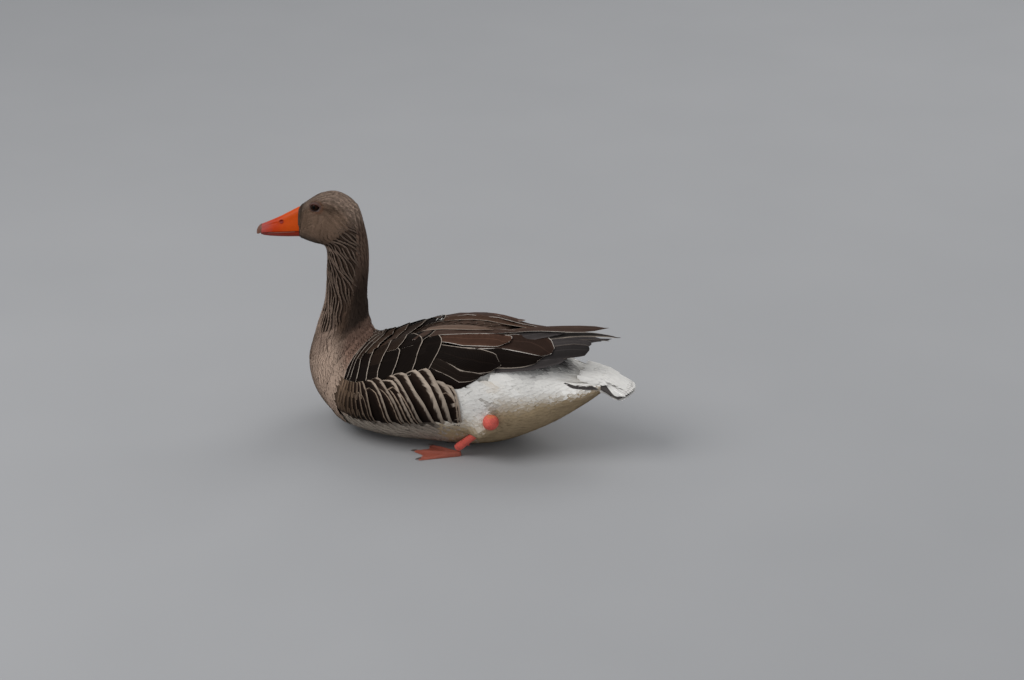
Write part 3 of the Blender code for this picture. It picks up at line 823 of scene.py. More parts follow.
def coat_breast(finish):
    """Broad soft feathers down to the keel, the last row standing over the coverts' first line."""
    rng = np.random.default_rng(13)
    coat = Coat("coat_breast")
    t, a = sow(rng, first=6.7, last=9.8, along=0.0050, across=0.0052, jitter=0.38,
               keep=lambda t, a: ~behind_breast(t, a) & (degrees_side(a) > 58.0))
    colours = speckle(rng, markings(np.maximum(t, 7.8), a), 0.08)
    collar = FRONT_LINE_LIFT * behind_breast(t - 0.35, a)
    lay(coat, SMALL_VANE, t, a, drift=rng.normal(0.0, 0.10, len(t)),
        length=0.0150 * rng.uniform(0.8, 1.1, len(t)), width=0.0092, root=collar - 0.0016,
        tip=collar + 0.0002, tint=colours, edge=mix(colours, FRINGE, 0.08), fringe=0.14, camber=0.0002,
        thickness=0.0002, from_tip=True)
    return coat.finish(finish)


def coat_belly(finish):
    """Pale feathers between the flanks."""
    rng = np.random.default_rng(14)
    coat = Coat("coat_belly")
    t, a = sow(rng, first=3.6, last=7.4, along=0.0080, across=0.0085,
               keep=lambda t, a: (degrees_side(a) > np.where(t > 4.0, 103.0, 88.0)) & (t < 7.4))
    colours = speckle(rng, markings(t, a), 0.08)
    lay(coat, SMALL_VANE, t, a, drift=rng.normal(0.0, 0.08, len(t)), length=0.0220, width=0.0140,
        root=-0.0026, tip=0.0004, tint=colours, edge=mix(colours, WHITE, 0.2), fringe=0.15, camber=0.0004)
    return coat.finish(finish)


# A real stain, and the painted shade of the crease between the thigh's tuft and the vent.
STAIN, CREASE_SHADE = (0.56, 0.40, 0.22), (0.20, 0.16, 0.12)


def coat_vent(finish):
    """Soft white feathers of the thighs, flanks' rear and undertail, and the grey rump above, its grey
    deepened by painted shade under the wing tips.
    """
    rng = np.random.default_rng(15)
    coat = Coat("coat_vent")
    t, a = sow(rng, first=0.10, last=4.75, along=0.0070, across=0.0075,
               keep=lambda t, a: ~on_wing(t, a) & ~((t > 3.85) & (degrees_side(a) < 74.0)))
    colours = speckle(rng, markings(np.minimum(t - 0.25, 3.8), a), 0.03)
    stain = hump(t, 3.47, 0.13) * hump(np.degrees(a), -68.0, 4.5)
    # Painted shade: a darker line along the crease between the thigh's tuft and the vent.
    crease_shade = hump(degrees_side(a), 80.0 + 18.0 * (3.77 - t), 2.4) * (np.abs(t - 3.5) < 0.32)
    colours = mix(mix(colours, STAIN, 0.4 * stain), CREASE_SHADE, 0.55 * crease_shade)
    # shorter feathers around the ankles, which stand out of the coat
    foot = surface(t, a)
    to_ankle = np.min([np.linalg.norm(foot - leg_axes(side)[0], axis=-1) for side in (-1, 1)], axis=0)
    near = smooth((0.030 - to_ankle) / 0.016)
    lay(coat, SMALL_VANE, t, a, drift=rng.normal(0.0, 0.10, len(t)),
        length=0.0290 * rng.uniform(0.85, 1.1, len(t)) * (1.0 - 0.45 * near),
        width=0.0165 * (1.0 - 0.35 * near), root=-0.0012, tip=0.0004, tint=colours, edge=colours,
        fringe=0.12, camber=0.0002, thickness=0.0002, shape=(0.6, 0.5, 0.15), base=thigh)
    return coat.finish(finish)


def coat_mantle(finish):
    """Brown feathers of the back between the wings, and of the neck's root above the shoulders."""
    rng = np.random.default_rng(17)
    coat = Coat("coat_mantle")
    t, a = sow(rng, first=6.9, last=10.3, along=0.0040, across=0.0042, jitter=0.35,
               keep=lambda t, a: (degrees_side(a) < 66.0) & ~behind_breast(t, a))
    colours = speckle(rng, markings(np.maximum(t, 7.8), a), 0.12)
    collar = 0.0022 * hump(t, 8.8, 0.4) + FRONT_LINE_LIFT * behind_breast(t - 0.45, a)
    lay(coat, SMALL_VANE, t, a, drift=rng.normal(0.0, 0.10, len(t)),
        length=0.0115 * rng.uniform(0.8, 1.1, len(t)), width=0.0070, root=collar - 0.0018,
        tip=collar + 0.0004, tint=colours, edge=mix(colours, FRINGE, 0.08), fringe=0.14, camber=0.0002,
        from_tip=True)
    # larger ones between the folded wings
    t, a = sow(rng, first=2.3, last=6.4, along=0.0110, across=0.0120,
               keep=lambda t, a: degrees_side(a) < 24.0)
    colours = speckle(rng, mix(BROWN, WING_DARK, smooth((t - 5.2) / 1.0) * 0.7), 0.20)
    lay(coat, VANE, t, a, drift=rng.normal(0.0, 0.10, len(t)), length=0.0340, width=0.0200,
        root=-0.0042, tip=-0.0008, tint=colours, edge=mix(colours, FRINGE, 0.45), fringe=0.10,
        camber=0.0008, patch=0.012)
    # loose bits of down where the wings meet
    bits = 8
    t = rng.uniform(5.02, 5.25, bits)
    a = np.radians(rng.uniform(6.0, 15.0, bits))
    lay(coat, SMALL_VANE, t, a, drift=rng.normal(0.0, 0.9, bits), length=0.0042, width=0.0018, root=0.0016,
        tip=0.0036, tint=WHITE, edge=WHITE, fringe=0.1)
    return coat.finish(finish)


# --- wings and flanks: big feathers laid one by one --------------------------------------------------
# The blades' tips on each side, and how far each blade arches down between root and tip.
BLADE_TIPS = {"tertial": {-1: (0.2480, -0.0030, 0.1962), 1: (0.2350, 0.0095, 0.1735)},
              "primary": {-1: (0.2645, -0.0080, 0.1870), 1: (0.2420, 0.0140, 0.1690)}}
BLADE_ARCH = {"tertial": -0.001, "primary": -0.004}
BLADE_ROOT = 0.55                                # share of the wing's depth at the blades' middle
WING_REAR_X = 0.0985 - CENTRE_X
BLADE_CAMBER = 0.0005                            # how far the long feathers' edges sink
LINE_POINTS, LINE_ROUNDINGS = 64, 5              # for the rounded outlines of single feathers


def wing_to_body(u, v):
    """Station and angle of a place on the folded wing."""
    front = np.interp(v, *zip(*WING_FRONT))
    t = front + (WING_REAR - front) * np.minimum(u, 1.0)
    top = wing_top(u)
    return t, top + (np.interp(t, *LOW_EDGE) - top) * v


def rear_edge(v, side):
    """Outer and inner edge of the folded wing's square rear end."""
    t, angle = wing_to_body(np.ones_like(v), v)
    foot, normal = surface(t, side * angle), outward(t, side * angle)
    low = foot + normal * WING_GAP
    high = foot + normal * (WING_GAP + wing_height(1.0, v))[..., None]
    low[..., 0] = high[..., 0] = WING_REAR_X
    return low, high


def wing_chart(u, v, lift, side, group, level):
    """The wing's outer face for u up to 1, then the flight feathers up to their tips at 2.

    level runs from the flight feathers' inner face (-1) to their outer face (1).
    """
    u, v = np.broadcast_arrays(np.asarray(u, float), np.asarray(v, float))
    t, angle = wing_to_body(u, v)
    near = plumage(t, side * angle, lift)
    tip = np.array(BLADE_TIPS[group][side]) - (CENTRE_X, 0.0, 0.0)
    low, high = rear_edge(v, side)
    middle, half = 0.5 * (low + high), 0.5 * (high - low)
    root_low, root_high = rear_edge(np.array(BLADE_ROOT), side)
    root = 0.5 * (root_low + root_high)
    share = np.clip(u - 1.0, 0.0, 1.03)[..., None]
    centre = root + (tip - root) * share
    centre[..., 2] += (BLADE_ARCH[group] * 4 * share * (1 - share))[..., 0]
    wide = 0.04 + 0.96 * (1.0 - np.minimum(share, 1.0) ** 3.0)
    thick = 0.14 + 0.86 * np.clip(1.0 - share, 0.0, 1.0) ** 0.8
    normal = half / np.linalg.norm(half, axis=-1, keepdims=True)
    far = centre + (middle - root) * wide + half * thick * level \
        + normal * np.broadcast_to(lift, u.shape)[..., None]
    join = smooth((u - 0.90) / 0.14)[..., None]
    return near * (1.0 - join) + far * join if level > 0.5 else far


def grid_normals(points, side):
    """Normals of grids of points, pointing away from the bird on either side."""
    along = np.gradient(points, axis=-3)
    across = np.gradient(points, axis=-2)
    normal = np.cross(across, along) * (1.0 if side > 0 else -1.0)
    return normal / np.maximum(np.linalg.norm(normal, axis=-1, keepdims=True), 1e-9)


def resample(line, number, start=0.0, end=1.0):
    """Points along a rounded polyline, spaced evenly by its own coordinates."""
    line = np.asarray(line, float)
    scale = np.ptp(line, axis=0) + 1e-6
    lengths = np.concatenate(([0.0], np.cumsum(np.linalg.norm(np.diff(line / scale, axis=0), axis=1))))
    spaced = np.linspace(0.0, lengths[-1], LINE_POINTS)
    dense = np.stack([np.interp(spaced, lengths, column) for column in line.T], -1)
    for _ in range(LINE_ROUNDINGS):
        dense[1:-1] = 0.25 * dense[:-2] + 0.5 * dense[1:-1] + 0.25 * dense[2:]
    places = np.linspace(start, end, number) * (LINE_POINTS - 1)
    return np.stack([np.interp(places, np.arange(LINE_POINTS), column) for column in dense.T], -1)


def set_feather(coat, leaf, points, side, tint, edge, fringe, cell, patch, thickness=0.0004):
    """Add one feather from its grid of points; fringe is its width in metres."""
    points = points[None]
    normals = grid_normals(points, side)
    if side > 0:
        points, normals = points[:, :, ::-1], normals[:, :, ::-1]
    middle = leaf.columns // 2
    length = np.linalg.norm(np.diff(points[0, :, middle], axis=0), axis=-1).sum()
    row = int(0.6 * leaf.rows)
    width = np.linalg.norm(np.diff(points[0, row], axis=0), axis=-1).sum()
    across = np.linspace(0.0, 1.0, leaf.columns + 1)
    along = np.linspace(0.0, 1.0, leaf.rows + 1)
    shares = np.stack(np.broadcast_arrays(across[None, :], along[:, None]), -1)
    coat.add(leaf, points, normals, thickness, shares, np.array(cell)[None], patch,
             np.array(tint)[None], np.array(edge)[None], np.array([length / (0.5 * width)]),
             np.array([fringe / (0.5 * width)]))


def band_feather(coat, leaf, line, span, side, reach, lifts, tint, edge, fringe, corner, cell, patch,
                 lean=0.0, waist=0.8, camber=0.0006, sink=0.0):
    """Broad feather whose tip edge follows part of a line of (station, degrees from the back).

    reach is its length in stations and lean its slant; corner rounds the tip's ends, waist narrows the
    root, lifts are the heights of root and tip, and sink lowers what lies under the belly.
    """
    places = resample(line, leaf.columns + 1, *span)
    across = np.linspace(-1.0, 1.0, leaf.columns + 1)[None, :]
    along = (np.linspace(0.0, 1.0, leaf.rows + 1) ** 0.8)[:, None]
    tip_t, tip_a = places[:, 0], np.radians(places[:, 1])
    length, around = stretch(tip_t, tip_a)
    width = np.abs(np.diff(tip_a)).sum() * around.mean()
    back = (1.0 - along) * reach + corner * np.abs(across) ** 3.5 * along
    squeeze = (waist + (1.0 - waist) * smooth(along / 0.5) - 1.0) * across * 0.5 * width
    t = tip_t[None] + (back * math.cos(lean)) / length[None]
    a = tip_a[None] + (back * math.sin(lean) + squeeze) / around[None]
    lift = lifts[0] + (lifts[1] - lifts[0]) * along ** 0.9 - camber * across ** 2 * along
    lift = lift - sink * smooth((places[:, 1] - 92.0) / 20.0)[None]
    points = plumage(np.clip(t, 0.0, LAST), side * a, lift)
    set_feather(coat, leaf, points, side, tint, edge, fringe, cell, patch)


def long_feather(coat, leaf, low_edge, high_edge, side, group, lifts, tint, edge, fringe, blunt, level, cell,
                 patch, facing=1.0):
    """Long feather between two edges given in shares of the wing's length and depth."""
    along = np.linspace(0.0, 1.0, leaf.rows + 1) ** 0.85
    low = resample(low_edge, leaf.rows + 1)
    high = resample(high_edge, leaf.rows + 1)
    across = np.linspace(-1.0, 1.0, leaf.columns + 1)
    start = 1.0 - 0.22 * blunt
    close = np.sqrt(np.clip(1.0 - 0.98 * np.clip((along - start) / (1.0 - start), 0, 1) ** 2.2, 0, 1))
    middle, half = 0.5 * (low + high), 0.5 * (low - high)
    uv = middle[:, None] + half[:, None] * (across[None, :] * close[:, None])[..., None]
    lift = lifts[0] + (lifts[1] - lifts[0]) * along[:, None] - BLADE_CAMBER * across[None, :] ** 2 * facing
    points = wing_chart(uv[..., 0], uv[..., 1], lift, side, group, level)
    set_feather(coat, leaf, points, side * facing, tint, edge, fringe, cell, patch)


# Rows of small coverts, from the front: tip line as (station, degrees from the back), from the lower edge
# to the back, then the number of feathers and the width of their fringe.
COVERT_ROWS = (
    (((7.50, 68), (7.56, 64), (7.74, 54), (7.86, 46), (7.98, 35), (8.00, 25), (7.94, 10)), 3, 0.0009),
    (((7.42, 64), (7.46, 60), (7.56, 51), (7.74, 42), (7.92, 32), (7.96, 14), (7.82, -12), (7.30, -30)),
     4, 0.0011),
    (((7.28, 62), (7.32, 56), (7.38, 48), (7.54, 40), (7.76, 24), (7.68, 7), (7.54, -12), (7.06, -30)),
     4, 0.0012),
    (((6.98, 60), (7.04, 51), (7.06, 44), (7.16, 38), (7.40, 22), (7.32, 2), (7.12, -20), (6.74, -28)),
     4, 0.0012),
    (((6.60, 59), (6.64, 50), (6.66, 44), (6.66, 36), (6.68, 24), (6.88, 5), (6.72, -8), (6.38, -22)),
     4, 0.0013),
    (((6.20, 58), (6.26, 51), (6.28, 45), (6.20, 36), (6.14, 24), (6.20, 7), (6.10, -4), (5.92, -18)),
     4, 0.0013),
)
# Single broad coverts behind them: tip line, length, fringe and share of brown.
BROAD_COVERTS = (
    (((5.77, 56), (5.78, 49), (5.69, 37), (5.68, 31), (5.77, 26)), 0.042, 0.0015, 0.0),
    (((5.80, 28), (5.70, 18), (5.74, 4), (5.60, -4), (5.42, -14)), 0.040, 0.0013, 0.35),
    (((5.28, 55), (5.22, 45), (5.18, 34), (5.14, 25), (5.26, 18), (5.37, 15), (5.52, 10)),
     0.045, 0.0015, 0.0),
    (((5.22, 27), (5.14, 23), (5.00, 18), (4.90, 10), (4.92, 6)), 0.045, 0.0013, 0.0),
    (((4.86, 55), (4.74, 45), (4.63, 38), (4.60, 30), (4.64, 25), (4.78, 19), (4.98, 15)),
     0.050, 0.0015, 0.0),
)
BROWN, RUST, DUSK = (0.060, 0.037, 0.026), (0.068, 0.033, 0.021), (0.028, 0.0155, 0.011)
COVERT_BROWN = (0.060, 0.036, 0.024)
GREY_BROWN, HUMP_BROWN, BUNDLE = (0.056, 0.034, 0.0255), (0.062, 0.034, 0.022), (0.064, 0.055, 0.053)
BRIGHT, DIM = (0.62, 0.56, 0.50), (0.20, 0.16, 0.13)
# Long coverts and flight feathers, the lowest first: lower edge, upper edge, blade, lifts, level,
# tint, edge, fringe, bluntness.
LONG_FEATHERS = (
    (((0.44, 1.02), (0.60, 1.04), (0.70, 1.10), (0.77, 1.05), (0.84, 1.00), (0.92, 0.94)),
     ((0.44, 0.80), (0.70, 0.80), (0.84, 0.86), (0.92, 0.90)),
     "primary", (-0.0010, 0.0010), 1.0, WING_DARK, WING_DARK, 0.0006, 0.4),
    (((0.46, 0.88), (0.61, 0.93), (0.73, 0.92), (0.86, 0.96), (0.93, 0.94)),
     ((0.46, 0.66), (0.70, 0.70), (0.88, 0.82), (0.93, 0.90)),
     "primary", (-0.0016, 0.0026), 1.0, (0.014, 0.009, 0.0065), FRINGE, 0.0012, 0.7),
    # primaries from under the coverts
    (((0.92, 0.94), (1.25, 0.90), (1.45, 0.84), (1.55, 0.74)), ((0.92, 0.60), (1.30, 0.58), (1.55, 0.60)),
     "primary", (-0.0004, 0.0000), 0.75, (0.012, 0.010, 0.009), DIM, 0.0004, 0.6),
    (((1.00, 0.80), (1.40, 0.82), (1.60, 0.86), (1.77, 0.97)), ((1.00, 0.45), (1.48, 0.44), (1.64, 0.42),
                                                                (1.77, 0.60)),
     "primary", (-0.0002, 0.0004), 0.85, (0.034, 0.029, 0.028), DIM, 0.0004, 0.25),
    (((1.00, 0.60), (1.45, 0.52), (1.62, 0.50), (1.73, 0.60), (1.78, 0.70)),
     ((1.00, 0.34), (1.48, 0.34), (1.62, 0.34), (1.74, 0.42), (1.78, 0.52)),
     "primary", (0.0000, 0.0008), 1.0, BUNDLE, DIM, 0.0005, 0.3),
    (((1.00, 0.50), (1.52, 0.41), (1.65, 0.37), (1.79, 0.42), (1.93, 0.60)),
     ((1.00, 0.28), (1.50, 0.26), (1.80, 0.28), (1.93, 0.55)),
     "primary", (0.0002, 0.0010), 1.0, BUNDLE, DIM, 0.0007, 0.9),
    (((1.00, 0.42), (1.44, 0.37), (1.61, 0.28), (1.78, 0.28), (1.94, 0.30), (2.02, 0.56)),
     ((1.00, 0.12), (1.50, 0.08), (1.80, 0.05), (1.95, 0.10), (2.02, 0.50)),
     "primary", (0.0004, 0.0014), 1.0, (0.045, 0.038, 0.034), FRINGE, 0.0008, 0.9),
    # greater coverts over their bases
    (((0.80, 0.86), (1.04, 0.90), (1.14, 0.915), (1.24, 0.91), (1.35, 0.86)),
     ((0.80, 0.60), (1.10, 0.64), (1.30, 0.74), (1.35, 0.80)),
     "primary", (0.0002, 0.0018), 1.0, WING_DARK, FRINGE, 0.0012, 0.6),
    (((0.80, 0.70), (1.08, 0.75), (1.14, 0.83), (1.28, 0.87), (1.40, 0.77)),
     ((0.80, 0.44), (1.10, 0.46), (1.35, 0.60), (1.40, 0.70)),
     "primary", (0.0004, 0.0022), 1.0, WING_DARK, FRINGE, 0.0012, 0.6),
    (((0.46, 0.66), (0.66, 0.74), (0.77, 0.75), (0.90, 0.86), (0.97, 0.95), (1.05, 0.90)),
     ((0.46, 0.38), (0.68, 0.46), (0.80, 0.45), (0.90, 0.46), (0.98, 0.62), (1.05, 0.80)),
     "primary", (-0.0014, 0.0034), 1.0, WING_DARK, FRINGE, 0.0013, 0.8),
    # tertials
    (((0.85, 0.46), (1.03, 0.51), (1.23, 0.63), (1.42, 0.76)),
     ((0.85, 0.14), (1.01, 0.12), (1.34, 0.17), (1.43, 0.36), (1.49, 0.66)),
     "primary", (0.0010, 0.0030), 1.0, DUSK, BRIGHT, 0.0013, 0.35),
    (((0.56, 0.38), (0.73, 0.42), (0.89, 0.43), (0.97, 0.47), (1.07, 0.45)),
     ((0.56, 0.22), (0.76, 0.22), (1.01, 0.15), (1.09, 0.25), (1.11, 0.36)),
     "tertial", (-0.0008, 0.0044), 1.0, RUST, BRIGHT, 0.0013, 0.5),
    (((0.50, 0.20), (0.80, 0.16), (1.10, 0.12), (1.38, 0.14)),
     ((0.50, -0.02), (0.80, -0.04), (1.10, -0.04), (1.38, 0.04)),
     "tertial", (0.0002, 0.0010), 0.9, HUMP_BROWN, FRINGE, 0.0009, 0.9),
    (((0.50, 0.32), (0.76, 0.23), (0.90, 0.17), (1.07, 0.12), (1.32, 0.22), (1.69, 0.44), (1.93, 0.60),
      (2.01, 0.60)),
     ((0.50, 0.08), (0.79, 0.05), (0.92, 0.05), (1.30, 0.08), (1.64, 0.17), (1.89, 0.20), (2.01, 0.40)),
     "tertial", (0.0016, 0.0042), 1.0, GREY_BROWN, BRIGHT, 0.0012, 0.8),
)
# The scapular over the longest tertial's base, which shows on the left only.
SCAPULAR = (((0.44, 0.06), (0.60, 0.13), (0.72, 0.16), (0.82, 0.15), (0.92, 0.12)),
            ((0.44, -0.10), (0.56, -0.08), (0.70, 0.03), (0.82, 0.07), (0.92, 0.10)),
            "tertial", (0.0012, 0.0042), 1.0, (0.135, 0.088, 0.064), FRINGE, 0.0006, 0.2)
# Dark inner vanes of the blades: upper and lower share of the wing's depth, blade and end.
INNER_VANES = ((0.62, 0.98, "primary", 1.62), (0.42, 0.80, "primary", 1.76), (0.28, 0.52, "primary", 1.95),
               (0.10, 0.40, "tertial", 1.62))
INNER_LEVELS = (-1.0, -0.6, -0.2, 0.2, 0.6)


def coat_wing(finish, side):
    """Coverts from the rear forwards, each row over the one behind it."""
    rng = np.random.default_rng(41 + side)
    coat = Coat("coverts_" + SIDE_NAMES[side])
    spots = bake_spots(start=0.04, pitch=0.062, columns=15)

    def jog(size):
        return rng.uniform(-size, size)

    for line, reach, fringe, brown in BROAD_COVERTS:
        if side > 0 and line[-1][1] < -9.0:           # it crosses the back, and lies on the left only
            continue
        tint = mix(WING_DARK, COVERT_BROWN, brown) * (0.8 + jog(0.15))
        if side > 0:
            line = [(t + 0.04, max(d, 0.0)) for t, d in line]
        band_feather(coat, BROAD_VANE, line, (0.0, 1.0), side, reach, (-0.0018, 0.0016), tint, FRINGE, fringe,
                     corner=0.002, cell=next(spots), patch=0.05)
    for line, number, fringe in COVERT_ROWS[::-1]:
        foremost = line is COVERT_ROWS[0][0]
        if side > 0:
            line = [(t, d) for t, d in line if d > 13.0]
        for k in range(number):
            span = (max((k - 0.10) / number, 0.0), min((k + 1.10) / number, 1.0))
            _, degrees = resample(line, 3, *span)[1]
            brown = min(1.0, smooth((42.0 - degrees) / 48.0) + 0.3 * (1 + side))
            tint = mix(WING_DARK, COVERT_BROWN, brown) * (1.0 + jog(0.2))
            if foremost:
                tint = markings(8.0, side * math.radians(degrees)) * 0.8
            shifted = [(t + jog(0.008), d) for t, d in line]
            tip_lift = (0.0020 if foremost else 0.0012) + jog(0.0002)
            band_feather(coat, VANE, shifted, span, side, 0.034, (-0.0022, tip_lift), tint, FRINGE, fringe,
                         corner=0.0012, cell=next(spots), patch=0.04)
    return coat.finish(finish)


def long_coat(finish, side):
    """Long coverts, tertials and primaries, over dark vanes that fill the blades from inside."""
    rng = np.random.default_rng(51 + side)
    coat = Coat("flight_feathers_" + SIDE_NAMES[side])
    spots = bake_spots(start=0.09, pitch=0.16, columns=6)
    for level in INNER_LEVELS:
        for first, last, group, end in INNER_VANES:
            tint = np.array(BUNDLE) * (0.8 + rng.uniform(-0.15, 0.15))
            end = end - 0.05 * abs(level)
            long_feather(coat, VANE, ((1.0, last), (1.3, last), (end, last - 0.04)),
                         ((1.0, first), (1.3, first), (end, first + 0.04)), side, group, (0.0, 0.0),
                         tint, tint * 1.8, 0.0006, blunt=0.8, level=level,
                         cell=(0.02 + 0.05 * len(coat.points) % 0.9, 0.95), patch=0.03,
                         facing=1.0 if level > 0 else -1.0)
    for low, high, group, lifts, level, tint, edge, fringe, blunt in LONG_FEATHERS + (SCAPULAR,) * (side < 0):
        tint = np.array(tint) * (1.0 + rng.uniform(-0.12, 0.12))
        long_feather(coat, BROAD_VANE, low, high, side, group, lifts, tint, edge, fringe, blunt, level,
                     cell=next(spots), patch=0.14)
    return coat.finish(finish, "tertials_" + SIDE_NAMES[side], "primaries_" + SIDE_NAMES[side])


# The flank's big feathers from the front: tip line as (station, degrees from the back) from the top corner
# down, width of the fringe, and strength of the contrast.
FLANK_ROWS = (
    (((7.62, 64), (7.50, 64), (7.36, 76), (7.24, 90), (7.10, 118)), 0.00168, 0.0),
    (((7.50, 63), (7.38, 62), (7.24, 75), (7.12, 90), (6.96, 118)), 0.00168, 0.05),
    (((7.38, 62), (7.26, 61), (7.12, 74), (6.98, 90), (6.80, 118)), 0.00182, 0.1),
    (((7.26, 61), (7.14, 60), (7.00, 73), (6.84, 90), (6.64, 118)), 0.00182, 0.2),
    (((7.14, 60), (7.02, 59), (6.86, 73), (6.70, 90), (6.48, 118)), 0.00196, 0.3),
    (((7.02, 59), (6.90, 58), (6.72, 72), (6.54, 90), (6.30, 118)), 0.00196, 0.4),
    (((6.90, 58), (6.78, 57), (6.58, 71), (6.38, 90), (6.12, 118)), 0.00224, 0.5),
    (((6.80, 57), (6.66, 56), (6.42, 70), (6.22, 88), (5.92, 118)), 0.00280, 0.65),
    (((6.67, 57), (6.50, 54), (6.27, 58), (6.03, 69), (5.87, 80), (5.74, 92), (5.46, 118)), 0.00448, 0.85),
    (((6.37, 54), (6.20, 52), (6.00, 58), (5.83, 66), (5.63, 76), (5.45, 90), (5.18, 118)), 0.00476, 0.85),
    (((6.00, 56), (5.77, 57), (5.62, 61), (5.50, 70), (5.38, 80), (5.20, 92), (4.94, 118)), 0.00560, 0.9),
    (((5.97, 54), (5.77, 51), (5.57, 58), (5.37, 70), (5.17, 82), (5.00, 94), (4.72, 118)), 0.00532, 0.9),
    (((5.67, 51), (5.43, 51), (5.27, 60), (5.07, 71), (4.87, 81), (4.66, 94), (4.42, 118)), 0.00700, 1.0),
    (((5.33, 51), (5.17, 50), (4.97, 57), (4.73, 68), (4.57, 78), (4.42, 92), (4.22, 118)), 0.00868, 1.0),
    (((5.00, 51), (4.83, 50), (4.68, 57), (4.50, 67), (4.36, 76), (4.20, 90), (4.06, 118)), 0.00868, 1.0),
    (((4.57, 62), (4.40, 64), (4.22, 70), (4.09, 78), (3.98, 92), (3.92, 118)), 0.00840, 1.0),
    (((4.30, 66), (4.16, 68), (4.03, 76), (3.93, 84), (3.88, 94), (3.86, 118)), 0.00504, 0.9),
)
FLANK_FRONT_DARK, FLANK_MIDDLE_DARK = (0.105, 0.070, 0.048), (0.040, 0.026, 0.017)
FLANK_FRONT_PALE, FLANK_TAN = (0.150, 0.096, 0.060), (0.36, 0.25, 0.17)
# Feathers on one tip line: the share of the line, stations ahead of it, share of the fringe and of tan.
FLANK_WHOLE = (((0.0, 1.0), 0.0, 1.0, 0.0),)
FLANK_TAN_OVER = (((0.30, 1.0), 0.10, 0.45, 0.5),)
FLANK_SHORT = (((0.0, 0.42), 0.0, 1.0, 0.0), ((0.30, 0.72), 0.05, 1.0, 0.0), ((0.60, 1.0), 0.0, 1.0, 0.0))


def coat_flank(finish, side):
    """Broad feathers that curve up over the wing's lower edge, laid from the rear forwards."""
    rng = np.random.default_rng(61 + side)
    coat = Coat("flank_" + SIDE_NAMES[side])
    spots = bake_spots(start=0.06, pitch=0.11, columns=9)
    for line, fringe, strength in FLANK_ROWS[::-1]:
        dark = mix(FLANK_FRONT_DARK, FLANK_MIDDLE_DARK, smooth(strength / 0.15))
        dark = mix(dark, FLANK_DARK, smooth((strength - 0.15) / 0.35))
        pale = mix(FLANK_FRONT_PALE, FLANK_PALE, strength ** 2)
        if strength < 0.6:
            feathers = FLANK_SHORT
        elif strength < 1.0:
            feathers = FLANK_WHOLE + FLANK_TAN_OVER
        else:
            feathers = FLANK_WHOLE
        for span, ahead, narrow, tan in feathers:
            moved = [(t + ahead + rng.uniform(-0.02, 0.02), d + (0.0 if side < 0 else 1.0)) for t, d in line]
            rim = mix(pale, FLANK_TAN, tan) * (1.0 + rng.uniform(-0.08, 0.08))
            band_feather(coat, BROAD_VANE, moved, span, side, 0.030, (-0.0030, 0.0028),
                         dark * (1.0 + rng.uniform(-0.2, 0.2)), rim, fringe * narrow, lean=0.30,
                         corner=0.001 + 0.012 * tan, waist=0.9, cell=next(spots), patch=0.10, camber=0.0002,
                         sink=0.0050)
    return coat.finish(finish)


# --- tail ------------------------------------------------------------------------------------------
TAIL_ROOT_X, TAIL_ROOT_TOP, TAIL_ROOT_LOW, TAIL_ROOT_WIDTH = STATIONS[0, (0, 1, 3, 4),]
TAIL_LENGTH, TAIL_FALL, TAIL_BOW, TAIL_DROOP = 0.0430, 0.0095, 0.0150, 0.0030
TAIL_HALF_WIDTH, TAIL_THICKNESS = 0.0340, 0.0024
TAIL_GREY, SIDE_FEATHER_GREY = (0.10, 0.085, 0.078), (0.080, 0.070, 0.066)
TAIL_DOWN_DARK, TAIL_DOWN_PALE = (0.050, 0.044, 0.041), (0.105, 0.093, 0.086)
TAIL_SIDES = 0.999                               # widest share of the fan where a feather may lie
SIDE_FEATHERS = ((1.30, 43.0), (1.00, 46.0), (0.75, 52.0))     # root station and degrees from the back
SIDE_FEATHERS_MEET = (0.10, 80.0)                # where they all point


def tail_chart(s, w, lift, face):
    """Upper (face 1) or lower (face -1) side of the tail fan; s root to rear edge, w left to right."""
    s, w = np.broadcast_arrays(np.asarray(s, float), np.asarray(w, float))
    near = np.clip(s, 0.0, 1.0)
    width = TAIL_ROOT_WIDTH + (TAIL_HALF_WIDTH - TAIL_ROOT_WIDTH) * smooth(near * 1.4)
    height = TAIL_THICKNESS + (TAIL_ROOT_TOP - TAIL_ROOT_LOW - TAIL_THICKNESS) * (1.0 - near) ** 1.8
    middle = 0.5 * (TAIL_ROOT_TOP + TAIL_ROOT_LOW) - TAIL_FALL * s
    round_off = np.sqrt(np.clip(1.0 - np.minimum(np.abs(w), 0.995) ** 2, 0.0, 1.0))
    x = TAIL_ROOT_X + TAIL_LENGTH * s - TAIL_BOW * w ** 2 * near - CENTRE_X
    z = middle + face * (0.5 * height * round_off + lift) - TAIL_DROOP * w ** 2 * near
    return np.stack((x, w * width, z), -1)


def tail_core():
    """Closed body of the tail under its feathers."""
    def place(angle, share):
        face = np.where(np.cos(angle) >= 0.0, 1.0, -1.0)
        return tail_chart(1.05 * share - 0.10, 0.985 * np.sin(angle), -0.0003, face)

    f = Finish("tail_down", Roughness=0.9, Specular_IOR_Level=0.10)
    down = f.noise(600.0, 3.0)
    f.feed("Base Color", f.blend(down, TAIL_DOWN_DARK, TAIL_DOWN_PALE))
    f.bump(down, 0.0006)
    return wrap_grid("tail_core", 72, 40, place, f.material, "tail")


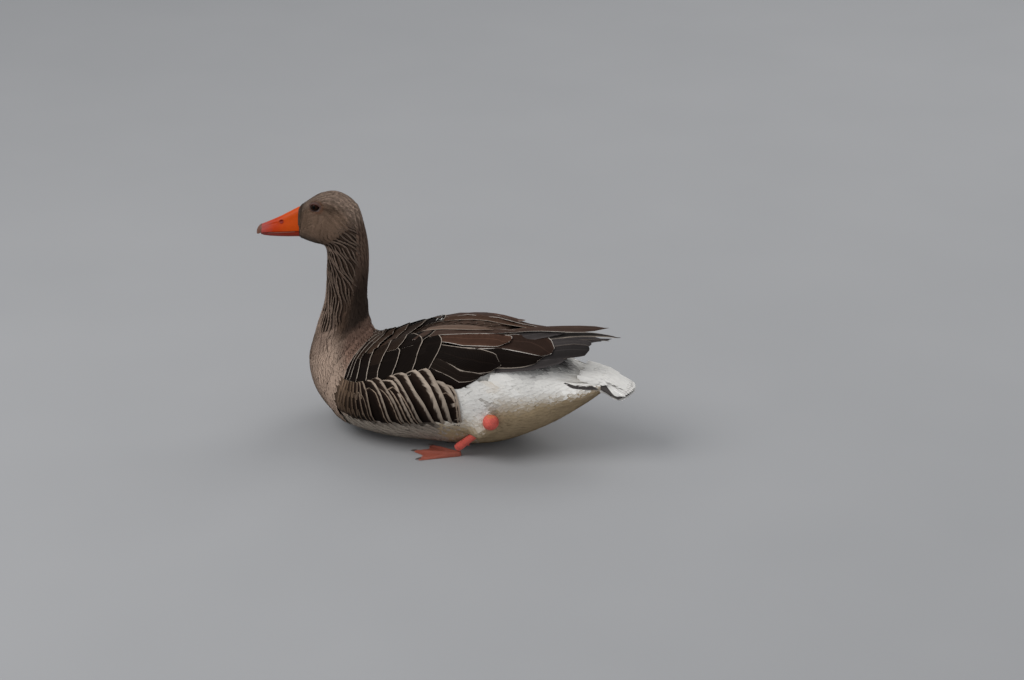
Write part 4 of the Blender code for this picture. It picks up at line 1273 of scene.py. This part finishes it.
def tail_feathers(finish):
    """Fan of tail feathers above and below, under the coverts of both sides."""
    rng = np.random.default_rng(71)
    coat = Coat("tail_feathers")
    leaf = BROAD_VANE
    spots = bake_spots(start=0.09, pitch=0.16, columns=6)
    across = np.linspace(-1.0, 1.0, leaf.columns + 1)[None, :]
    along = np.linspace(0.0, 1.0, leaf.rows + 1)[:, None] ** 0.8
    for face in (1.0, -1.0):
        for k in range(8):
            for turn in ((1, -1) if k else (1,)):
                order = 7 - k if face > 0 else k
                w = turn * order / 7.0 * 0.86
                tip = 1.01 + rng.uniform(-0.015, 0.015)
                s = -0.55 + (tip + 0.55) * along - 0.10 * np.abs(across) ** 2.5 * along
                half = 0.20 * (0.55 + 0.45 * smooth(along / 0.6)) * np.sqrt(
                    np.clip(1.0 - 0.9 * np.clip((along - 0.85) / 0.15, 0, 1) ** 2.5, 0, 1))
                place = w * (0.45 + 0.55 * smooth(along * 1.1)) + across * half
                lift = 0.0002 + 0.0002 * k + 0.0006 * along - 0.0006 * across ** 2
                points = tail_chart(s, np.clip(place, -TAIL_SIDES, TAIL_SIDES), lift, face)
                outer = smooth((order - 5.2) / 0.8)
                tint = mix(TAIL_GREY, WHITE, outer if face > 0 else 0.5 + 0.5 * outer)
                set_feather(coat, leaf, points, face, tint, WHITE, fringe=0.0085 if face > 0 else 0.0060,
                            cell=next(spots), patch=0.14)
    return coat.finish(finish)


def side_feathers(finish):
    """Dark outer tail feathers whose bases lie along the sides of the tail's root."""
    rng = np.random.default_rng(73)
    coat = Coat("side_feathers")
    meet_t, meet_degrees = SIDE_FEATHERS_MEET
    for side in (-1, 1):
        for t, degrees in SIDE_FEATHERS:
            a = side * math.radians(degrees)
            length, around = stretch(t, a)
            turn = math.atan2(math.radians(meet_degrees - degrees) * around, (t - meet_t) * length)
            tint = np.array([SIDE_FEATHER_GREY]) * (1.0 + rng.uniform(-0.2, 0.2))
            lay(coat, VANE, np.array([t]), np.array([a]), drift=side * turn, length=0.030, width=0.0050,
                root=-0.0002, tip=0.0012, tint=tint)
    return coat.finish(finish)


def tail_coverts(finish):
    """White coverts over and under the tail's root."""
    rng = np.random.default_rng(72)
    coat = Coat("tail_coverts")
    leaf = SMALL_VANE
    across, half, along = profile(leaf)
    spots = bake_spots(start=0.05, pitch=0.03, columns=30)
    for face, reach, rows in ((1.0, 0.84, 9), (-1.0, 0.78, 8)):
        for row in range(rows):
            tip = reach - (reach + 0.25) * row / (rows - 1)
            for k in range(11):
                w = -0.92 + 1.84 * (k + 0.5 * (row % 2)) / 10.5 + rng.uniform(-0.03, 0.03)
                w = w * (1.0 - 0.52 * float(smooth((tip - 0.10) / 0.6)) * (face > 0))
                place = tip + rng.uniform(-0.04, 0.04) - 0.08 * w ** 2
                s = place - (1.0 - along) * 0.50
                spread = np.clip(w + across[None, :] * half[:, None] * 0.13, -TAIL_SIDES, TAIL_SIDES)
                lift = 0.0004 + 0.0012 * along - 0.0007 * across[None, :] ** 2 + 0.0001 * row
                if face > 0:
                    lift = lift + 0.0028 * hump(s, 0.42, 0.3)
                tint = np.array(WHITE) * (0.95 + rng.uniform(-0.05, 0.03))
                set_feather(coat, leaf, tail_chart(s, spread, lift, face), face, tint, tint * 1.03,
                            fringe=0.0006, cell=next(spots), patch=0.02, thickness=0.0003)
    return coat.finish(finish)


# --- bill, eyes and lids -----------------------------------------------------------------------------
# Sections from root to tip in the unturned head: x, top, bottom and half width.
UPPER_BILL = ((-0.2165, 0.3352, 0.3017, 0.0122), (-0.2185, 0.3346, 0.3015, 0.0122),
              (-0.2310, 0.3276, 0.3002, 0.0118), (-0.2440, 0.3204, 0.2992, 0.0110),
              (-0.2570, 0.3142, 0.2982, 0.0103), (-0.2670, 0.3098, 0.2970, 0.0096),
              (-0.2722, 0.3076, 0.2962, 0.0090))
NAIL = ((-0.2715, 0.3074, 0.2966, 0.0085), (-0.2735, 0.3076, 0.2958, 0.0084),
        (-0.2755, 0.3061, 0.2946, 0.0076), (-0.2782, 0.3031, 0.2934, 0.0056),
        (-0.2802, 0.2990, 0.2936, 0.0026))
LOWER_BILL = ((-0.2165, 0.3012, 0.2908, 0.0112), (-0.2185, 0.3009, 0.2908, 0.0112),
              (-0.2330, 0.2993, 0.2902, 0.0109), (-0.2480, 0.2979, 0.2900, 0.0101),
              (-0.2600, 0.2969, 0.2902, 0.0090), (-0.2690, 0.2956, 0.2908, 0.0066),
              (-0.2740, 0.2947, 0.2918, 0.0030))
NOSTRIL = (-0.2428, 0.3140, 0.0040, 0.0013)      # x, z, half length, half height
NOSTRIL_SLOPE, NOSTRIL_DEPTH, NOSTRIL_SIDE = 0.30, 0.0014, 0.0095
BILL_AXIS = ((-0.2185, 0.0, 0.305), (-0.2722, 0.0, 0.300))     # root and tip
ORANGE, ORANGE_RED, BILL_PINK = (0.53, 0.062, 0.0005), (0.46, 0.036, 0.002), (0.36, 0.056, 0.044)
LOW_RED, LOW_MIDDLE, LOW_TIP = (0.26, 0.024, 0.008), (0.26, 0.032, 0.020), (0.26, 0.038, 0.029)
NAIL_PALE, NAIL_TIP, LAMELLA_PINK = (0.19, 0.082, 0.052), (0.15, 0.062, 0.038), (0.40, 0.17, 0.13)
NOSTRIL_RED = (0.20, 0.006, 0.003)
LAMELLAE, LAMELLAE_START, LAMELLAE_PITCH, LAMELLA_RADIUS = 34, -0.2230, 0.0012, 0.0006


def bill_section(table, x):
    """Top, bottom and half width of a bill's part at x."""
    table = np.array(table)[::-1]
    return [np.interp(x, table[:, 0], table[:, k]) for k in (1, 2, 3)]


def bill_x(table, share):
    return table[0][0] + (table[-1][0] - table[0][0]) * share


def upper_bill(angle, share):
    """Point of the upper bill, with its flat sides, nostrils and furrows."""
    x = bill_x(UPPER_BILL, share)
    top, low, width = bill_section(UPPER_BILL, x)
    c, s = np.cos(angle), np.sin(angle)
    h = np.abs(c) ** 0.92
    y = np.sign(s) * np.abs(s) ** 0.90 * width
    z = np.where(c > 0, low + (top - low) * h, low - 0.0006 * h * np.abs(s) ** 0.5 + 0.0012 * (c < -0.5))
    y = y * (1.0 - 0.10 * hump(c, 0.55, 0.25))
    x0, z0, long, high = NOSTRIL
    dx, dz = x - x0, z - z0 - NOSTRIL_SLOPE * (x - x0)
    ring = np.hypot(dx / long, dz / high)
    hollow = NOSTRIL_DEPTH * smooth((1.05 - ring) / 0.7) - 0.0003 * hump(ring, 1.35, 0.25)
    furrow = 0.0005 * hump(dz, -0.0006, 0.0012) * smooth((x0 - x) / 0.010) * smooth((x + 0.270) / 0.015)
    y = y - np.sign(s) * (hollow + furrow) * (c > 0.05)
    return turn_head(np.stack((x, y, z), -1))


def bill_nail(angle, share):
    """Point of the nail at the bill's tip."""
    x = bill_x(NAIL, np.sin(0.5 * math.pi * share))
    top, low, width = bill_section(NAIL, x)
    c, s = np.cos(angle), np.sin(angle)
    y = np.sign(s) * np.abs(s) ** 0.95 * width
    z = np.where(c > 0, low + (top - low) * np.abs(c), low - 0.0005 * np.abs(c))
    return turn_head(np.stack((x, y, z), -1))


def lower_bill(angle, share):
    """Point of the lower bill, with a groove along its side."""
    x = bill_x(LOWER_BILL, share)
    top, low, width = bill_section(LOWER_BILL, x)
    c, s = np.cos(angle), np.sin(angle)
    y = np.sign(s) * np.abs(s) ** 0.8 * width
    z = np.where(c > 0, top - 0.0010 * np.abs(c) * (1.0 - np.abs(s)), top - (top - low) * np.abs(c) ** 0.9)
    y = y - np.sign(s) * 0.0006 * hump(z, top - 0.0026, 0.0008)
    return turn_head(np.stack((x, y, z), -1))


def lamellae(finish):
    """Row of small ridges along each edge of the lower bill, in the gape."""
    bm = bmesh.new()
    for side in (-1, 1):
        for k in range(LAMELLAE):
            x = LAMELLAE_START - LAMELLAE_PITCH * k
            top, _, width = bill_section(LOWER_BILL, x)
            made = bmesh.ops.create_icosphere(bm, subdivisions=1, radius=LAMELLA_RADIUS)["verts"]
            bmesh.ops.scale(bm, verts=made, vec=(0.8, 1.2, 1.5))
            bmesh.ops.translate(bm, verts=made, vec=(x, side * (width - 0.0001), top - 0.0007))
    for vert in bm.verts:
        vert.co = turn_head(np.array(vert.co))
    return settle(bm, "lamellae", finish)


def bill_finish(name, base, middle, tip, roughness, gloss=0.30):
    """Horn that changes colour twice from the root to the tip, with fine lengthwise lines."""
    f = Finish(name, Roughness=roughness, Specular_IOR_Level=gloss)
    root, end = (Vector(turn_head(point)) for point in BILL_AXIS)
    axis = end - root
    share = f.along_axis(f.offset_from(root), axis / axis.length_squared)
    cloud = (f.noise(160.0, 3.0) - 0.5) * 0.30
    colour = f.blend(f.ramp(share + cloud, 0.25, 0.62), base, middle)
    colour = f.blend(f.ramp(share + cloud, 0.66, 0.92), colour, tip)
    stretched = f.node("ShaderNodeMapping", {"vector_type": "POINT"},
                       {"Vector": f.place(), "Scale": (180.0, 900.0, 900.0)})
    grain = f.noise(1.0, 3.0, stretched)
    blotch = f.noise(420.0, 2.0)
    colour = f.shade(colour, 0.82 + 0.22 * grain + 0.16 * blotch)
    for side in (-1, 1):
        away = f.distance_from(turn_head((NOSTRIL[0], side * NOSTRIL_SIDE, NOSTRIL[1])))
        colour = f.blend(f.ramp(away, 0.0026, 0.0048, 0.92, 0.0), colour, NOSTRIL_RED)
    f.feed("Base Color", colour)
    f.bump(grain * 0.35 + blotch * 0.25, 0.0003)
    return f.material


EYE_FORWARD = (-0.22, 0.96, 0.10)                # the way an eye looks in the unturned head: x, sideways, z
IRIS_DARK, IRIS_LIGHT, IRIS_RIM = (0.010, 0.004, 0.002), (0.030, 0.010, 0.005), (0.006, 0.003, 0.002)
PUPIL, PUPIL_RADIUS, IRIS_RADIUS = (0.002, 0.002, 0.002), 0.0024, 0.0045
CORNEA = 0.72                        # share of the eyeball's radius where the cornea's bulge starts
LID_OPENING = (0.0068, 0.0048)       # half length and half height of the eye's opening
LID_REACH = (0.0098, 0.0082)         # and of the lids' outer edge
LID_ROWS = 9
LID_RED, LID_DARK, LID_SKIN = (0.075, 0.018, 0.012), (0.014, 0.009, 0.007), (0.072, 0.036, 0.026)


def eye_frame(side):
    """Centre, outward, rearward and upward axes of an eye."""
    centre = eye_centre(side)
    outward_axis = turn_head(np.array((EYE[0] + EYE_FORWARD[0], side * (EYE[1] + EYE_FORWARD[1]),
                                       EYE[2] + EYE_FORWARD[2]))) - centre
    outward_axis = outward_axis / np.linalg.norm(outward_axis)
    rear = turn_head(np.array((EYE[0] + 1.0, side * EYE[1], EYE[2] - 0.10))) - centre
    rear = rear - outward_axis * rear.dot(outward_axis)
    rear = rear / np.linalg.norm(rear)
    up = np.cross(outward_axis, rear) * (1.0 if side < 0 else -1.0)
    if up[2] < 0:
        up = -up
    return centre, outward_axis, rear, up


def eye_ellipse(points, side, long, high):
    """1 on an ellipse around the eye's opening, less inside it."""
    centre, out, rear, up = eye_frame(side)
    place = points - centre
    size = np.hypot(place @ rear / long, place @ up / high)
    return np.where(place @ out > -0.004, size, 9.0)


def around_eyes(points, long, high):
    return np.minimum(eye_ellipse(points, -1, long, high), eye_ellipse(points, 1, long, high))


def behind_eyes(points):
    """Share of the dark streak that runs back from each eye."""
    share = 0.0
    for side in (-1, 1):
        centre, out, rear, up = eye_frame(side)
        place = points - centre
        streak = hump(place @ rear, 0.023, 0.013) * hump(place @ up, 0.001, 0.0055)
        share = share + streak * (place @ out > -0.014)
    return share


def make_eye(side):
    """Dark, glossy eyeball with a bulging cornea."""
    name = "eye_" + SIDE_NAMES[side]
    centre, out, rear, up = eye_frame(side)
    f = Finish(name + "_gloss", Roughness=0.12, Specular_IOR_Level=0.04, Coat_Weight=0.01,
               Coat_Roughness=0.04)
    place = f.offset_from(centre)
    x, z = f.along_axis(place, rear), f.along_axis(place, up)
    radius = f.node("ShaderNodeMath", {"operation": "SQRT"}, {0: x * x + z * z})
    iris = f.blend(f.noise(900.0, 2.0), IRIS_DARK, IRIS_LIGHT)
    iris = f.blend(f.ramp(radius, IRIS_RADIUS, IRIS_RADIUS + 0.0011), iris, IRIS_RIM)
    f.feed("Base Color", f.blend(f.ramp(radius, PUPIL_RADIUS, PUPIL_RADIUS + 0.0004), PUPIL, iris))
    bm = bmesh.new()
    bmesh.ops.create_uvsphere(bm, u_segments=48, v_segments=32, radius=EYE_RADIUS - 0.0001)
    turn = Vector(out).to_track_quat("Z", "Y").to_matrix()
    for vert in bm.verts:
        height = vert.co.z / EYE_RADIUS
        vert.co *= 1.0 + 0.05 * max(0.0, (height - CORNEA) / (1.0 - CORNEA)) ** 1.5
    bmesh.ops.rotate(bm, verts=bm.verts, cent=(0.0, 0.0, 0.0), matrix=turn)
    bmesh.ops.translate(bm, verts=bm.verts, vec=centre)
    piece = settle(bm, name + "_ball", f.material, name)
    return piece


def make_lids(side, finish):
    """Almond-shaped lids, from the eyeball out under the feathers."""
    centre, out, rear, up = eye_frame(side)
    t, a = np.meshgrid(np.linspace(15.6, 18.6, 90), side * np.radians(np.linspace(25.0, 105.0, 90)))
    near = plumage(t, a).reshape(-1, 3) - centre
    near = np.stack((near @ rear, near @ up, near @ out), -1)
    bm = bmesh.new()
    bmesh.ops.create_grid(bm, x_segments=72, y_segments=LID_ROWS, size=1.0)
    tint = bm.verts.layers.float_color.new("Tint")
    for vert in bm.verts:
        angle = vert.co.x * math.pi
        row = round((vert.co.y + 1.0) * 0.5 * LID_ROWS)
        c, s = math.cos(angle), math.sin(angle)
        pinch = 1.0 - 0.16 * abs(c) ** 6          # the corners are drawn to points
        inner = np.array((LID_OPENING[0] * c, LID_OPENING[1] * s * pinch * (0.92 if s > 0 else 1.0)))
        outer = np.array((LID_REACH[0] * c, LID_REACH[1] * s))
        share = max(0.0, (row - 2) / (LID_ROWS - 2))
        x, z = inner + (outer - inner) * share
        if row == 0:
            x, z = inner * 1.02
        ball = math.sqrt(max(EYE_RADIUS ** 2 * 1.03 - inner[0] ** 2 - inner[1] ** 2, 1e-8))
        skin = near[np.argmin((near[:, 0] - x) ** 2 + (near[:, 1] - z) ** 2), 2] - 0.0007
        if row == 0:
            height = ball - 0.0012
        elif row == 1:
            height = ball + 0.0001
        else:
            rim = ball + 0.0006
            height = rim + (skin - rim) * float(smooth(share))
        height += 0.00022 * math.sin(14.0 * share) * math.exp(-3.0 * share) * (row > 2)
        rim_colour = mix(LID_DARK, LID_RED, float(smooth((s + 0.1) / 0.4)))
        vert[tint] = (*mix(rim_colour, LID_SKIN, float(smooth((share - 0.10) / 0.35))), 1.0)
        vert.co = Vector(centre + rear * x + up * z + out * height)
    bmesh.ops.remove_doubles(bm, verts=bm.verts, dist=WELD)
    bmesh.ops.recalc_face_normals(bm, faces=bm.faces)
    if sum(face.normal.dot(Vector(out)) for face in bm.faces) < 0:
        bmesh.ops.reverse_faces(bm, faces=bm.faces)
    bmesh.ops.solidify(bm, geom=bm.faces[:], thickness=0.0005)
    return settle(bm, "lids_" + SIDE_NAMES[side], finish)


def lid_finish():
    f = Finish("lid_skin", Roughness=0.55, Specular_IOR_Level=0.35)
    wrinkles = f.noise(1300.0, 3.0)
    f.feed("Base Color", f.shade(f.attribute("Tint"), 0.75 + 0.5 * wrinkles))
    f.bump(wrinkles, 0.0002)
    return f.material


# --- legs and feet -----------------------------------------------------------------------------------
ANKLE, TOE_JOINT = (0.0975, 0.0870, 0.0655), (0.0420, 0.0750, 0.0118)
ANKLE_RADIUS, TARSUS_RADIUS, HEEL_REACH = 0.0108, 0.0056, 0.010
TOE_LENGTHS, TOE_THICKNESS, WEB_THICKNESS = (0.058, 0.074, 0.066), 0.0075, 0.0022
TOE_SPREAD, FOOT_TURN = 22.0, 5.0                # degrees
THIGH_MOUND = 0.0125
# The warmer coral is painted light on the top of the ankle knob.
CORAL, CORAL_TOP_LIGHT, FOOT_CORAL = (0.86, 0.140, 0.102), (0.84, 0.31, 0.105), (0.52, 0.135, 0.085)
CLAW_GREY = (0.10, 0.08, 0.07)
KNOB_ARC = (-88, -78, -55, -30, -5, 22, 45)      # degrees from the ankle's middle, along the tarsus
WEB_MARGIN = 0.07                                # share of the spread beyond the outer toes' middle


def leg_axes(side):
    """Ankle, direction of the tarsus, its length, and the sideways and upward axes."""
    ankle = np.array((ANKLE[0] - CENTRE_X, side * ANKLE[1], ANKLE[2]))
    joint = np.array((TOE_JOINT[0] - CENTRE_X, side * TOE_JOINT[1], TOE_JOINT[2]))
    axis = (joint - ankle) / np.linalg.norm(joint - ankle)
    across = np.array((0.0, 1.0, 0.0)) - axis * axis[1]
    across = across / np.linalg.norm(across)
    return ankle, axis, np.linalg.norm(joint - ankle), across, np.cross(axis, across)


def thigh_mound(points):
    """Height of the thigh's feathers where they lie over the start of the tarsus."""
    height = 0.0
    for side in (-1, 1):
        ankle, axis, _, _, _ = leg_axes(side)
        place = points - ankle
        reach = place @ axis
        away = np.linalg.norm(place - reach[..., None] * axis, axis=-1)
        ends = smooth((reach - 0.001) / 0.012) * (1.0 - smooth((reach - 0.026) / 0.020))
        height = height + THIGH_MOUND * ends * hump(away, 0.0, 0.015)
    return height


def foot_heel(side):
    """Where the toes spread from, on the floor."""
    return np.array((TOE_JOINT[0] + HEEL_REACH - CENTRE_X, side * TOE_JOINT[1], 0.0))


def thigh(t, a, lift):
    """The feathered surface with the mounds in front of the ankles."""
    point = plumage(t, a, lift)
    return point + outward(t, a) * thigh_mound(point)[..., None]


def make_leg(side, finish):
    """Ankle with its two knuckles, and the tarsus with rows of plates in front."""
    ankle, axis, length, across, upward = leg_axes(side)
    knob = [(ANKLE_RADIUS * math.sin(math.radians(d)), ANKLE_RADIUS * math.cos(math.radians(d)))
            for d in KNOB_ARC]
    shank = [(0.014, 1.22), (0.020, 1.10), (0.036, 1.0), (length - 0.018, 1.0), (length - 0.008, 1.12),
             (length - 0.001, 1.0), (length + 0.001, 0.5)]
    table = np.array(knob + [(reach, share * TARSUS_RADIUS) for reach, share in shank])

    def place(angle, share):
        reach = table[0, 0] + (table[-1, 0] - table[0, 0]) * share
        radius = np.interp(reach, table[:, 0], table[:, 1])
        c, s = np.cos(angle), np.sin(angle)
        near = 1.0 - smooth((reach - 0.004) / 0.012)
        knuckles = 0.0019 * hump(reach, -0.001, 0.007) * (np.abs(c) ** 3 + 0.6)
        creases = 0.00022 * near * np.sin(reach / 0.0011 + 1.4 * np.sin(2.0 * angle))
        front = smooth((-s - 0.1) / 0.4) * smooth((reach - 0.010) / 0.006)
        plates = 0.00030 * front * (np.abs(((reach / 0.0030) % 1.0) - 0.5) * 2.0) ** 6
        radius = radius + knuckles + creases - plates
        flat = 0.85 + 0.07 * near
        middle = ankle + np.array((0.0, 0.0, 0.0018)) * near[..., None]
        middle = middle + axis * (reach * (1.0 + 0.12 * near))[..., None]
        return middle + across * (c * radius * flat)[..., None] + upward * (s * radius)[..., None]

    return wrap_grid("shank_" + SIDE_NAMES[side], 64, 150, place, finish, "leg_" + SIDE_NAMES[side])


def make_foot(side, finish):
    """Webbed foot: three toes with knuckles and plates, the web between them, a flat sole."""
    leaf = Leaf(76, 46)
    across = -WEB_MARGIN + (1.0 + 2.0 * WEB_MARGIN) * leaf.column / leaf.columns
    share = 0.06 + 0.94 * leaf.row / leaf.rows
    inside = np.clip(across, 0.0, 1.0)
    reach = np.interp(inside, (0.0, 0.5, 1.0), TOE_LENGTHS)
    scallop = 1.0 - 0.15 * np.sin(2 * math.pi * inside) ** 2 * share
    nearest = np.min(np.abs(across[:, None] - np.array((0.0, 0.5, 1.0))), axis=1)
    away = nearest * math.radians(2 * TOE_SPREAD) * reach * share
    toe_width = 0.0040 * (1.0 - 0.45 * share)
    knuckle = 0.5 + 0.5 * np.cos(share * reach / 0.0062 + np.where(across > 0.7, 1.5, 0.0))
    ridge = hump(away, 0.0, toe_width)
    plate = (np.abs(((share * reach / 0.0021) % 1.0) - 0.5) * 2.0) ** 6
    height = WEB_THICKNESS * 0.8 * (1 - 0.4 * share) + ridge * (
        (TOE_THICKNESS - WEB_THICKNESS) * (1.0 - 0.66 * share) * (0.90 + 0.14 * knuckle) - 0.00028 * plate)
    height = height + 0.00025 * (1.0 - ridge) * np.sin(across * 60.0) * share
    border = (leaf.column == 0) | (leaf.column == leaf.columns) | (leaf.row == leaf.rows) | (leaf.row == 0)
    drop = np.minimum(leaf.column, leaf.columns - leaf.column) / 3.0
    height = height * np.sqrt(np.clip(drop, 0.0, 1.0))
    z = np.where(leaf.under, 0.0002, np.where(border, 0.0007, np.maximum(height, 0.0010)))
    turn = np.radians((across - 0.5) * 2 * TOE_SPREAD + FOOT_TURN)
    out = reach * scallop * share
    points = foot_heel(side) + np.stack((-np.cos(turn) * out, side * np.sin(turn) * out, z), -1)
    bm = bmesh.new()
    verts = [bm.verts.new(point) for point in points]
    bake = bm.loops.layers.uv.new("OFBake")
    for quad in leaf.quads:
        face = bm.faces.new([verts[k] for k in quad])
        sole = 0.5 if leaf.under[quad].any() else 0.0
        for loop, k in zip(face.loops, quad):
            loop[bake].uv = (0.02 + 0.46 * leaf.column[k] / leaf.columns + sole,
                             on_map(leaf.row[k] / leaf.rows))
    bmesh.ops.recalc_face_normals(bm, faces=bm.faces)
    return settle(bm, "web_" + SIDE_NAMES[side], finish, "foot_" + SIDE_NAMES[side], sharp=60.0)


def make_claw(name, root, direction, length, radius, droop, finish):
    """Curved, tapering claw or small toe."""
    direction = np.array(direction) / np.linalg.norm(direction)
    side = np.cross(direction, (0.0, 0.0, 1.0))
    side = side / np.linalg.norm(side)
    up = np.cross(side, direction)

    def place(angle, share):
        size = radius * np.sqrt(np.clip(1.0 - share, 0.0, 1.0) + 0.004) * (1.0 - 0.15 * np.cos(2.0 * angle))
        sideways, upwards = np.cos(angle) * size, np.sin(angle) * size * 0.85 - droop * share ** 2
        return (np.array(root) + direction * (length * share)[..., None] + side * sideways[..., None]
                + up * upwards[..., None])

    return wrap_grid(name, 24, 16, place, finish)


def make_toe_ends(side, horn, skin):
    """Three claws, and the small hind toe on the tarsus."""
    heel = foot_heel(side)
    for k, length in enumerate(TOE_LENGTHS):
        turn = math.radians((k * 0.5 - 0.5) * 2 * TOE_SPREAD + FOOT_TURN)
        direction = np.array((-math.cos(turn), side * math.sin(turn), 0.0))
        root = heel + direction * (length - 0.0035) + np.array((0.0, 0.0, 0.0026))
        make_claw("claw_%s_%d" % (SIDE_NAMES[side], k + 1), root, direction, length=0.0085, radius=0.0017,
                  droop=0.0012, finish=horn)
    ankle, axis, length, across, _ = leg_axes(side)
    root = ankle + axis * (length - 0.010) - across * side * 0.004
    make_claw("hind_toe_" + SIDE_NAMES[side], root, (0.75, -side * 0.45, -0.25), length=0.0120, radius=0.0024,
              droop=0.0010, finish=skin)


def leg_finish(name, base, top_light, scale):
    """Scaly skin: rounded cells with darker seams, and painted light that turns the top lighter and more
    orange.
    """
    f = Finish(name, Roughness=0.48, Specular_IOR_Level=0.4)
    cells = f.node("ShaderNodeTexVoronoi", {"feature": "DISTANCE_TO_EDGE"},
                   {"Vector": f.place(), "Scale": scale, "Randomness": 0.7}, "Distance")
    seam = f.ramp(cells, 0.0, 0.14)
    cloud = f.noise(120.0, 3.0)
    height = f.split(f.place())[2]
    # Painted light: the top of the ankle knob turns lighter and more orange.
    colour = f.blend(f.ramp(height + (cloud - 0.5) * 0.010, 0.0755, 0.082), base, top_light)
    f.feed("Base Color", f.shade(colour, (0.72 + 0.28 * seam) * (0.80 + 0.40 * cloud)))
    f.bump(seam, 0.00035)
    return f.material


# --- the stage: floor, light and camera ----------------------------------------------------------------
FLOOR_SIZE, FLOOR_DARK, FLOOR_PALE = 14.0, (0.335, 0.335, 0.340), (0.368, 0.366, 0.370)
SKY_COLOUR, SKY_STRENGTH = (0.93, 0.96, 1.0, 1.0), 0.55
# name, place, diameter and power
LAMPS = (("key_lamp", (-1.6, -1.4, 2.8), 2.2, 55.0), ("back_lamp", (1.2, 2.4, 2.6), 2.2, 30.0))
LAMP_TARGET = (0.0, 0.0, 0.15)
CAMERA_TARGET = (0.0978, 0.0, 0.1600)
CAMERA_AZIMUTH, CAMERA_ELEVATION, CAMERA_DISTANCE = 17.0, 24.5, 3.82
CAMERA_VIEW = 22.0           # degrees across the frame


def make_floor():
    f = Finish("pale_floor", Roughness=0.85)
    f.feed("Base Color", f.blend(f.noise(3.0, 2.0), FLOOR_DARK, FLOOR_PALE))
    bm = bmesh.new()
    bmesh.ops.create_grid(bm, x_segments=1, y_segments=1, size=FLOOR_SIZE)
    mesh = bpy.data.meshes.new("floor")
    bm.to_mesh(mesh)
    bm.free()
    mesh.materials.append(f.material)
    piece = add_object("floor", mesh)


def make_lights():
    world = bpy.data.worlds.new("soft_sky")
    world.use_nodes = True
    sky = world.node_tree.nodes["Background"]
    sky.inputs["Color"].default_value = SKY_COLOUR
    sky.inputs["Strength"].default_value = SKY_STRENGTH
    bpy.context.scene.world = world
    for name, place, size, power in LAMPS:
        lamp = bpy.data.lights.new(name, "AREA")
        lamp.shape = "DISK"
        lamp.size, lamp.energy = size, power
        holder = add_object(name, lamp)
        holder.location = place
        holder.rotation_euler = (Vector(LAMP_TARGET) - Vector(place)).to_track_quat("-Z", "Y").to_euler()


def make_camera():
    azimuth, elevation = math.radians(CAMERA_AZIMUTH), math.radians(CAMERA_ELEVATION)
    back = Vector((math.sin(azimuth) * math.cos(elevation), -math.cos(azimuth) * math.cos(elevation),
                   math.sin(elevation)))
    data = bpy.data.cameras.new("camera")
    data.angle = math.radians(CAMERA_VIEW)
    data.clip_start, data.clip_end = 0.1, 60.0
    camera = add_object("camera", data)
    camera.location = Vector(CAMERA_TARGET) + back * CAMERA_DISTANCE
    camera.rotation_euler = back.to_track_quat("Z", "Y").to_euler()
    bpy.context.scene.camera = camera


# --- the goose, from the skin outwards -------------------------------------------------------------------
make_floor()
make_lights()
make_camera()
bpy.context.scene.view_settings.view_transform = "Standard"

SOFT = feather_finish("soft_feather", 0.85, mottle=0.30)
DOWNY = feather_finish("downy_feather", 0.9, barbs=5.0, relief=0.0001, shaft=0.0, mottle=0.07, halo=0.0)
COVERT = feather_finish("covert_feather", 0.70, shaft=0.3, fade=14.0)
FLANK = feather_finish("flank_feather", 0.75, mottle=0.55, shaft=0.0, fade=2.0, halo=1.4, ragged=1.5,
                       reach=0.16, low=0.55)
FLIGHT = feather_finish("flight_feather", 0.62, mottle=0.45, shaft=0.6, halo=0.5)
make_skin(skin_finish())

wrap_grid("upper_bill", 96, 110, upper_bill,
          bill_finish("upper_bill_horn", ORANGE, ORANGE_RED, BILL_PINK, 0.42, gloss=0.16), "bill_upper")
wrap_grid("lower_bill", 64, 72, lower_bill,
          bill_finish("red_lower_bill", LOW_RED, LOW_MIDDLE, LOW_TIP, 0.42, gloss=0.16), "bill_lower")
wrap_grid("nail", 48, 30, bill_nail,
          bill_finish("bill_nail_horn", NAIL_PALE, NAIL_PALE, NAIL_TIP, 0.35), "bill_nail")
lamellae(bill_finish("pink_edge", LAMELLA_PINK, LAMELLA_PINK, LAMELLA_PINK, 0.4))
LIDS = lid_finish()
for side in (-1, 1):
    make_eye(side)
    make_lids(side, LIDS)

coat_head(SOFT)
coat_neck(SOFT)
coat_breast(SOFT)
coat_mantle(COVERT)
coat_belly(SOFT)
coat_vent(DOWNY)
for side in (-1, 1):
    coat_flank(FLANK, side)
    coat_wing(COVERT, side)
    long_coat(FLIGHT, side)
tail_core()
tail_feathers(FLIGHT)
side_feathers(FLIGHT)
tail_coverts(DOWNY)

LEG_SKIN = leg_finish("coral_leg_skin", CORAL, CORAL_TOP_LIGHT, scale=620.0)
FOOT_SKIN = leg_finish("coral_foot_skin", FOOT_CORAL, FOOT_CORAL, scale=900.0)
CLAW_HORN = bill_finish("grey_claw", CLAW_GREY, CLAW_GREY, CLAW_GREY, 0.4)
for side in (-1, 1):
    make_leg(side, LEG_SKIN)
    make_foot(side, FOOT_SKIN)
    make_toe_ends(side, CLAW_HORN, LEG_SKIN)
